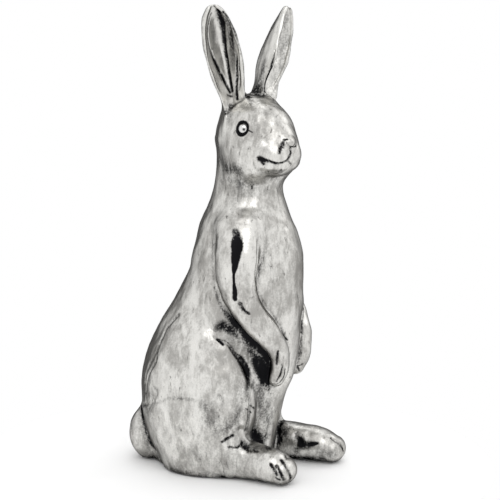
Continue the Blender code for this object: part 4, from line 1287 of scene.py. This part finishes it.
class Graph:
    """A node tree, with short ways to add nodes to it and link them."""

    def __init__(self, tree: bpy.types.NodeTree) -> None:
        """Works on this tree."""
        self.tree = tree

    def add(self, kind: str, links: dict | None = None, **settings: object) -> bpy.types.Node:
        """Adds a node.

        Args:
            kind: The node's type.
            links: What goes into each input: an output socket or a plain value.
            settings: Values for the node's own settings.

        Returns:
            The node.
        """
        node = self.tree.nodes.new(kind)
        for name, value in settings.items():
            setattr(node, name, value)
        for name, value in (links or {}).items():
            if isinstance(value, bpy.types.NodeSocket):
                self.tree.links.new(value, node.inputs[name])
            else:
                node.inputs[name].default_value = value
        return node

    def math(self, operation: str, *values: object, clamp: bool = False) -> bpy.types.NodeSocket:
        """The result of a Math node."""
        node = self.add("ShaderNodeMath", dict(enumerate(values)), operation=operation, use_clamp=clamp)
        return node.outputs[0]

    def share(self, value: bpy.types.NodeSocket, part: float) -> bpy.types.NodeSocket:
        """A plain share of a value."""
        return self.math("MULTIPLY", value, part)

    def ramp(
        self, value: bpy.types.NodeSocket, low: float, high: float, start: float = 0.0, stop: float = 1.0
    ) -> bpy.types.NodeSocket:
        """A value taken smoothly from one range to another."""
        links = {"Value": value, "From Min": low, "From Max": high, "To Min": start, "To Max": stop}
        return self.add("ShaderNodeMapRange", links, interpolation_type="SMOOTHSTEP").outputs["Result"]

    def noise(
        self, scale: float, detail: float, roughness: float = 0.5, warp: float = 0.0, upright: float = 1.0
    ) -> bpy.types.NodeSocket:
        """A cloudy pattern in the object's own space, which an upright scale under 1 draws out upwards."""
        place = self.add("ShaderNodeTexCoord").outputs["Object"]
        if upright != 1.0:
            scales = {"Vector": place, "Scale": (1.0, 1.0, upright)}
            place = self.add("ShaderNodeMapping", scales).outputs["Vector"]
        links = {
            "Vector": place,
            "Scale": scale,
            "Detail": detail,
            "Roughness": roughness,
            "Distortion": warp,
        }
        return self.add("ShaderNodeTexNoise", links).outputs["Fac"]

    def mix(self, share: object, first: object, second: object) -> bpy.types.NodeSocket:
        """A mixture of two colours."""
        node = self.add("ShaderNodeMix", data_type="RGBA")
        for socket, value in zip((node.inputs[0], node.inputs[6], node.inputs[7]), (share, first, second)):
            if isinstance(value, bpy.types.NodeSocket):
                self.tree.links.new(value, socket)
            else:
                socket.default_value = value
        return node.outputs[2]

    def attribute(self, name: str) -> bpy.types.NodeSocket:
        """A value kept at the mesh's own points."""
        return self.add("ShaderNodeAttribute", attribute_name=name).outputs["Fac"]


@dataclass(frozen=True)
class OxideEffect:
    """The shared effect of ageing and painted shade: blotches, oxide in the hollows, the painted shade
    carried in the same attribute, and a hand-worked grain.
    """

    name: str = "aged_metal"

    def group(self) -> bpy.types.NodeTree:
        """The effect's node group, made the first time it is asked for."""
        if self.name in bpy.data.node_groups:
            return bpy.data.node_groups[self.name]
        tree = bpy.data.node_groups.new(self.name, "ShaderNodeTree")
        colours, numbers = ("Bright", "Film", "Oxide"), ("Cover", "Polish", "Grain")
        for title in colours:
            tree.interface.new_socket(title, in_out="INPUT", socket_type="NodeSocketColor")
        for title in numbers:
            tree.interface.new_socket(title, in_out="INPUT", socket_type="NodeSocketFloat")
        tree.interface.new_socket("Colour", in_out="OUTPUT", socket_type="NodeSocketColor")
        for title in ("Roughness", "Height"):
            tree.interface.new_socket(title, in_out="OUTPUT", socket_type="NodeSocketFloat")
        graph = Graph(tree)
        given = graph.add("NodeGroupInput").outputs
        # The oxide attribute holds the oxide in the hollows and also painted shade: the shade marks and the
        # darkening towards the floor.
        black, worn = graph.attribute("oxide"), graph.attribute("worn")
        broad = graph.noise(38, 3, 0.55, 0.6, 0.62)
        mottle = graph.noise(170, 4, 0.6, 0.5, 0.42)
        strokes = graph.noise(330, 3, 0.55, 0.8, 0.30)
        grains = graph.noise(620, 4, 0.65)
        clouds = graph.math("ADD", graph.share(broad, 0.52), graph.share(mottle, 0.32))
        fine = graph.math("ADD", graph.share(strokes, 0.20), graph.share(grains, 0.20))
        clouds = graph.math("ADD", clouds, fine)
        film = graph.math("MULTIPLY", graph.ramp(clouds, 0.51, 0.75), given["Cover"])
        film = graph.math("MULTIPLY", film, graph.ramp(worn, 0.15, 0.60, 1.0, 0.35))
        flecks = graph.math("MULTIPLY", graph.ramp(strokes, 0.64, 0.73), given["Cover"])
        patchy = graph.math("ADD", graph.share(grains, 0.5), graph.share(mottle, 0.5))
        broken = graph.math("MULTIPLY", black, graph.ramp(patchy, 0.38, 0.60, 0.55, 1.15))
        deep = graph.math("ADD", graph.ramp(broken, 0.04, 1.05), graph.share(flecks, 0.55), clamp=True)
        colour = graph.mix(deep, graph.mix(film, given["Bright"], given["Film"]), given["Oxide"])
        rough = graph.share(graph.math("ADD", mottle, film), 0.08)
        rough = graph.math("ADD", given["Polish"], rough)
        rough = graph.math("ADD", rough, graph.share(deep, 0.10))
        height = graph.math("ADD", graph.share(mottle, 0.20), graph.share(strokes, 0.10))
        height = graph.math("SUBTRACT", height, graph.share(flecks, 0.06))
        height = graph.math("MULTIPLY", height, given["Grain"])
        graph.add("NodeGroupOutput", {"Colour": colour, "Roughness": rough, "Height": height})
        return tree


@dataclass(frozen=True)
class Metal:
    """A metal finish with the shared ageing and painted shade on it.

    Cover is how much film and flecks it has, polish its roughness, grain its unevenness, and rim the
    tint of what it mirrors at its edges.
    """

    name: str
    bright: Colour
    film: Colour
    oxide: Colour
    cover: float
    polish: float
    grain: float
    rim: Colour = (1, 1, 1, 1)

    def material(self) -> bpy.types.Material:
        """The finish as a material."""
        made = bpy.data.materials.new(self.name)
        made.use_nodes = True
        made.node_tree.nodes.clear()
        graph = Graph(made.node_tree)
        inputs = {
            "Bright": self.bright,
            "Film": self.film,
            "Oxide": self.oxide,
            "Cover": self.cover,
            "Polish": self.polish,
            "Grain": self.grain,
        }
        aged = graph.add("ShaderNodeGroup", inputs, node_tree=OxideEffect().group())
        relief = {"Height": aged.outputs["Height"], "Strength": 1.0, "Distance": 0.001}
        bump = graph.add("ShaderNodeBump", relief)
        links = {
            "Base Color": aged.outputs["Colour"],
            "Roughness": aged.outputs["Roughness"],
            "Normal": bump.outputs["Normal"],
            "Metallic": 1.0,
            "Specular Tint": self.rim,
        }
        surface = graph.add("ShaderNodeBsdfPrincipled", links)
        graph.add("ShaderNodeOutputMaterial", {"Surface": surface.outputs["BSDF"]})
        return made


ANTIQUE_SILVER = Metal(
    "antique_silver_cast",
    bright=(0.78, 0.77, 0.738, 1),
    film=(0.39, 0.38, 0.36, 1),
    # near black, for the oxide and for the painted shade
    oxide=(0.010, 0.010, 0.011, 1),
    cover=1.0,
    polish=0.24,
    grain=0.60,
    rim=(0.28, 0.28, 0.28, 1),
)
EYE_SILVER = Metal(
    "eye_silver",
    bright=(0.76, 0.755, 0.745, 1),
    film=(0.60, 0.595, 0.585, 1),
    oxide=(0.02, 0.02, 0.02, 1),
    cover=0.15,
    polish=0.08,
    grain=0.05,
)
DOWEL_STEEL = Metal(
    "dowel_steel",
    bright=(0.62, 0.62, 0.63, 1),
    film=(0.42, 0.42, 0.43, 1),
    oxide=(0.10, 0.09, 0.08, 1),
    cover=0.30,
    polish=0.28,
    grain=0.15,
)
SCREW_ZINC = Metal(
    "screw_zinc",
    bright=(0.70, 0.72, 0.74, 1),
    film=(0.55, 0.56, 0.58, 1),
    oxide=(0.18, 0.17, 0.16, 1),
    cover=0.35,
    polish=0.24,
    grain=0.12,
)


@dataclass(frozen=True)
class Felt:
    """Grey pressed felt."""

    name: str = "pressed_felt"
    dark: Colour = (0.10, 0.10, 0.105, 1)
    pale: Colour = (0.24, 0.24, 0.245, 1)

    def material(self) -> bpy.types.Material:
        """The felt as a material."""
        made = bpy.data.materials.new(self.name)
        made.use_nodes = True
        made.node_tree.nodes.clear()
        graph = Graph(made.node_tree)
        fibres = graph.noise(2600, 4, 0.7, 1.5)
        tufts = graph.noise(420, 3, 0.6)
        shade = graph.share(graph.math("ADD", fibres, tufts), 0.5)
        bump = graph.add("ShaderNodeBump", {"Height": fibres, "Strength": 0.7, "Distance": 0.0004})
        links = {
            "Base Color": graph.mix(graph.ramp(shade, 0.35, 0.65), self.dark, self.pale),
            "Roughness": graph.ramp(fibres, 0.3, 0.7, 0.85, 0.98),
            "Normal": bump.outputs["Normal"],
            "Sheen Weight": 0.4,
        }
        surface = graph.add("ShaderNodeBsdfPrincipled", links)
        graph.add("ShaderNodeOutputMaterial", {"Surface": surface.outputs["BSDF"]})
        return made


@dataclass(frozen=True)
class FeltPads:
    """Four felt discs under the castings, with a nap of short fibres grown on each."""

    offset: np.ndarray
    nodes: tuple[str, ...] = ("front_right", "front_left", "rear_right", "rear_left")
    radius: float = 0.0060
    bevel: float = 0.00015
    inset: float = 0.0001
    fibre_length: float = 0.00035
    fibre_radius: float = 0.00004
    density: float = 3.0e6
    seed: int = 5

    def build(self, finish: bpy.types.Material) -> None:
        """Makes the four pads."""
        tree = self.nap(finish)
        for index, name in enumerate(self.nodes):
            node = f"felt_pad_{name}"
            fitted_piece(self.pad(node, tree, index), finish, "grey_felt", node)

    def pad(self, node: str, tree: bpy.types.NodeTree, index: int) -> bpy.types.Mesh:
        """One pad with its nap, as a plain mesh."""
        low, high = map(np.array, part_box(node))
        middle, lift = (low + high) / 2, (high[2] - low[2]) / 2 - self.inset
        shape = bmesh.new()
        bmesh.ops.create_cone(
            shape,
            cap_ends=True,
            segments=64,
            radius1=self.radius - self.inset,
            radius2=self.radius - self.inset - self.bevel,
            depth=2 * lift,
            matrix=Matrix.Translation(Vector(middle)),
        )
        disc = bpy.data.meshes.new(f"{node}_nap")
        shape.to_mesh(disc)
        shape.free()
        holder = bpy.data.objects.new(f"{node}_holder", disc)
        bpy.context.scene.collection.objects.link(holder)
        modifier = holder.modifiers.new("nap", "NODES")
        modifier.node_group = tree
        values = {
            "Density": self.density,
            "Length": self.fibre_length,
            "Radius": self.fibre_radius,
            "Seed": self.seed + index,
        }
        for item in tree.interface.items_tree:
            if item.in_out == "INPUT" and item.name in values:
                modifier[item.identifier] = values[item.name]
        made = bpy.data.meshes.new_from_object(holder.evaluated_get(bpy.context.evaluated_depsgraph_get()))
        made.name = f"{node}_felt"
        bpy.data.objects.remove(holder)
        made.materials.clear()
        return made

    def nap(self, finish: bpy.types.Material) -> bpy.types.NodeTree:
        """The tree that grows fibres on a disc."""
        tree = bpy.data.node_groups.new("felt_nap", "GeometryNodeTree")
        tree.interface.new_socket("Geometry", in_out="INPUT", socket_type="NodeSocketGeometry")
        for title, kind in (("Density", "Float"), ("Length", "Float"), ("Radius", "Float"), ("Seed", "Int")):
            tree.interface.new_socket(title, in_out="INPUT", socket_type=f"NodeSocket{kind}")
        tree.interface.new_socket("Geometry", in_out="OUTPUT", socket_type="NodeSocketGeometry")
        graph = Graph(tree)
        given = graph.add("NodeGroupInput").outputs
        spots = graph.add(
            "GeometryNodeDistributePointsOnFaces",
            {"Mesh": given["Geometry"], "Density": given["Density"], "Seed": given["Seed"]},
        )
        fibre = graph.add(
            "GeometryNodeMeshCone",
            {"Vertices": 3, "Radius Top": 0.0, "Radius Bottom": given["Radius"], "Depth": given["Length"]},
        )
        lean = graph.add("FunctionNodeRandomValue", data_type="FLOAT_VECTOR")
        lean.inputs[0].default_value, lean.inputs[1].default_value = (-1.1, -1.1, -3.14), (1.1, 1.1, 3.14)
        tree.links.new(given["Seed"], lean.inputs["Seed"])
        turned = graph.add("FunctionNodeRotateRotation", rotation_space="LOCAL")
        tree.links.new(spots.outputs["Rotation"], turned.inputs[0])
        leant = graph.add("FunctionNodeEulerToRotation", {0: lean.outputs[0]})
        tree.links.new(leant.outputs[0], turned.inputs[1])
        grown = graph.add(
            "GeometryNodeInstanceOnPoints",
            {
                "Points": spots.outputs["Points"],
                "Instance": fibre.outputs["Mesh"],
                "Rotation": turned.outputs[0],
            },
        )
        fibres = graph.add("GeometryNodeRealizeInstances", {"Geometry": grown.outputs[0]})
        joined = graph.add("GeometryNodeJoinGeometry")
        for part in (given["Geometry"], fibres.outputs[0]):
            tree.links.new(part, joined.inputs[0])
        dressed = graph.add("GeometryNodeSetMaterial", {"Geometry": joined.outputs[0], "Material": finish})
        graph.add("NodeGroupOutput", {"Geometry": dressed.outputs[0]})
        return tree


@dataclass(frozen=True)
class Hardware:
    """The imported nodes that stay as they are: dowels, neck sleeve, base plate and screws."""

    def dress(self, steel: bpy.types.Material, zinc: bpy.types.Material) -> None:
        """Gives each its finish."""
        for name, node in frame["nodes"].items():
            if name.startswith("base_"):
                finish = zinc
            elif "dowel" in name or name == "neck_sleeve":
                finish = steel
            else:
                continue
            node.data.materials.clear()
            node.data.materials.append(finish)
            LOG.info("%s: %s", name, finish.name)


@dataclass(frozen=True)
class Studio:
    """A pale floor, plain soft light with one dark card behind the hare, and the photograph's camera.

    The card's angles are degrees from the line that runs on from the camera. Dusk is how dim the rest
    of the far side is.
    """

    view: View
    offset: np.ndarray
    sky: float = 1.0
    card: float = 0.05
    card_aside: float = 9.0
    card_dip: float = -6.0
    card_half: float = 37.0
    card_soft: float = 6.0
    dusk: float = 0.68
    dusk_half: float = 84.0
    floor_radius: float = 0.23
    floor_shade: float = 0.90
    lamps: tuple[tuple[str, Point, float, float], ...] = (
        ("key", (-0.98, -0.55, 1.45), 7.0, 1.60),
        ("top", (0.55, 0.35, 1.40), 2.2, 1.00),
        ("fill", (0.92, -0.82, 1.12), 2.2, 1.20),
    )
    aim: Point = (0.0, 0.0, 0.2)

    def build(self) -> None:
        """Makes the world, the lamps, the floor and the camera."""
        self.world()
        for lamp in self.lamps:
            self.lamp(*lamp)
        self.floor()
        self.camera()
        bpy.context.scene.view_settings.view_transform = "Standard"

    def shown(self, graph: Graph) -> bpy.types.NodeSocket:
        """1 for rays that see the backdrop: camera, glossy and transmission rays."""
        path = graph.add("ShaderNodeLightPath").outputs
        seen = graph.math("ADD", path["Is Camera Ray"], path["Is Transmission Ray"], clamp=True)
        return graph.math("ADD", seen, path["Is Glossy Ray"], clamp=True)

    def world(self) -> None:
        """The soft light all round, white to the camera, with the dark card in its reflections."""
        made = bpy.data.worlds.new("studio")
        bpy.context.scene.world = made
        made.use_nodes = True
        made.node_tree.nodes.clear()
        graph = Graph(made.node_tree)
        _, _, back = self.view.axes()
        turn, dip = math.radians(self.card_aside), math.radians(self.card_dip)
        ahead = -back[:2] / np.linalg.norm(back[:2])
        c, s = math.cos(turn), math.sin(turn)
        level = np.array([[c, -s], [s, c]]) @ ahead
        middle = (*(level * math.cos(dip)), math.sin(dip))
        sight = graph.add("ShaderNodeTexCoord").outputs["Generated"]
        facing = graph.add("ShaderNodeVectorMath", {0: sight, 1: middle}, operation="DOT_PRODUCT")
        facing = facing.outputs["Value"]
        edges = [math.cos(math.radians(self.card_half + side * self.card_soft)) for side in (1, -1)]
        dusk = graph.ramp(facing, math.cos(math.radians(self.dusk_half)), edges[0], 1.0, self.dusk)
        dim = graph.math("MULTIPLY", graph.ramp(facing, edges[0], edges[1], 1.0, self.card), dusk)
        path = graph.add("ShaderNodeLightPath").outputs
        seen = graph.add("ShaderNodeMix", {0: path["Is Glossy Ray"], 2: 1.0, 3: dim}).outputs[0]
        strength = graph.add("ShaderNodeMix", {0: self.shown(graph), 2: self.sky, 3: seen}).outputs[0]
        background = graph.add("ShaderNodeBackground", {"Color": (1, 1, 1, 1), "Strength": strength})
        graph.add("ShaderNodeOutputWorld", {"Surface": background.outputs[0]})

    def lamp(self, name: str, place: Point, power: float, size: float) -> None:
        """One soft lamp, aimed at the hare's middle."""
        light = bpy.data.lights.new(name, "AREA")
        light.energy, light.size, light.shape = power, size, "DISK"
        holder = bpy.data.objects.new(name, light)
        bpy.context.scene.collection.objects.link(holder)
        holder.location = place
        holder.rotation_euler = (Vector(self.aim) - Vector(place)).to_track_quat("-Z", "Y").to_euler()

    def floor(self) -> None:
        """A round pale floor that is white to the camera and keeps the hare's shadow."""
        shape = bmesh.new()
        bmesh.ops.create_circle(shape, cap_ends=True, segments=96, radius=self.floor_radius)
        made = bpy.data.meshes.new("studio_floor")
        shape.to_mesh(made)
        shape.free()
        paint = bpy.data.materials.new("floor_paint")
        paint.use_nodes = True
        paint.node_tree.nodes.clear()
        graph = Graph(paint.node_tree)
        grain = graph.ramp(graph.noise(12, 2), 0.3, 0.7, self.floor_shade - 0.01, self.floor_shade + 0.01)
        tint = graph.add("ShaderNodeCombineColor", {0: grain, 1: grain, 2: grain}).outputs[0]
        surface = graph.add("ShaderNodeBsdfPrincipled", {"Base Color": tint, "Roughness": 0.9})
        graph.add("ShaderNodeOutputMaterial", {"Surface": surface.outputs["BSDF"]})
        made.materials.append(paint)
        ground = bpy.data.objects.new("studio_floor", made)
        bpy.context.scene.collection.objects.link(ground)

    def camera(self) -> None:
        """The photograph's camera."""
        right, up, back = self.view.axes()
        lens = bpy.data.cameras.new("photograph")
        lens.sensor_width = 36.0
        lens.lens = lens.sensor_width * self.view.focal / self.view.frame
        lens.clip_start = 0.05
        holder = bpy.data.objects.new("photograph", lens)
        bpy.context.scene.collection.objects.link(holder)
        turned = Matrix((right, up, back)).transposed().to_4x4()
        place = self.view.target() + back * self.view.away + self.offset
        holder.matrix_world = Matrix.Translation(Vector(place)) @ turned
        bpy.context.scene.camera = holder


def main() -> None:
    """Builds the hare's pieces in order, dresses the imported hardware, and sets the studio up."""
    logging.basicConfig(level=logging.INFO, format="%(message)s")
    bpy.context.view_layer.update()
    low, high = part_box("base_plate")
    hare = Hare()
    hare.work()
    LOG.info("marks: %d", len(hare.worked.lines))
    offset = np.array([0.0, (low[1] + high[1]) / 2 - hare.pocket[0], 0.0])
    silver = ANTIQUE_SILVER.material()
    Castings(hare, offset).build(silver)
    Eyes(hare, offset).build(EYE_SILVER.material())
    FeltPads(offset).build(Felt().material())
    Hardware().dress(DOWEL_STEEL.material(), SCREW_ZINC.material())
    Studio(hare.view, offset).build()


if __name__ == "__main__":
    main()
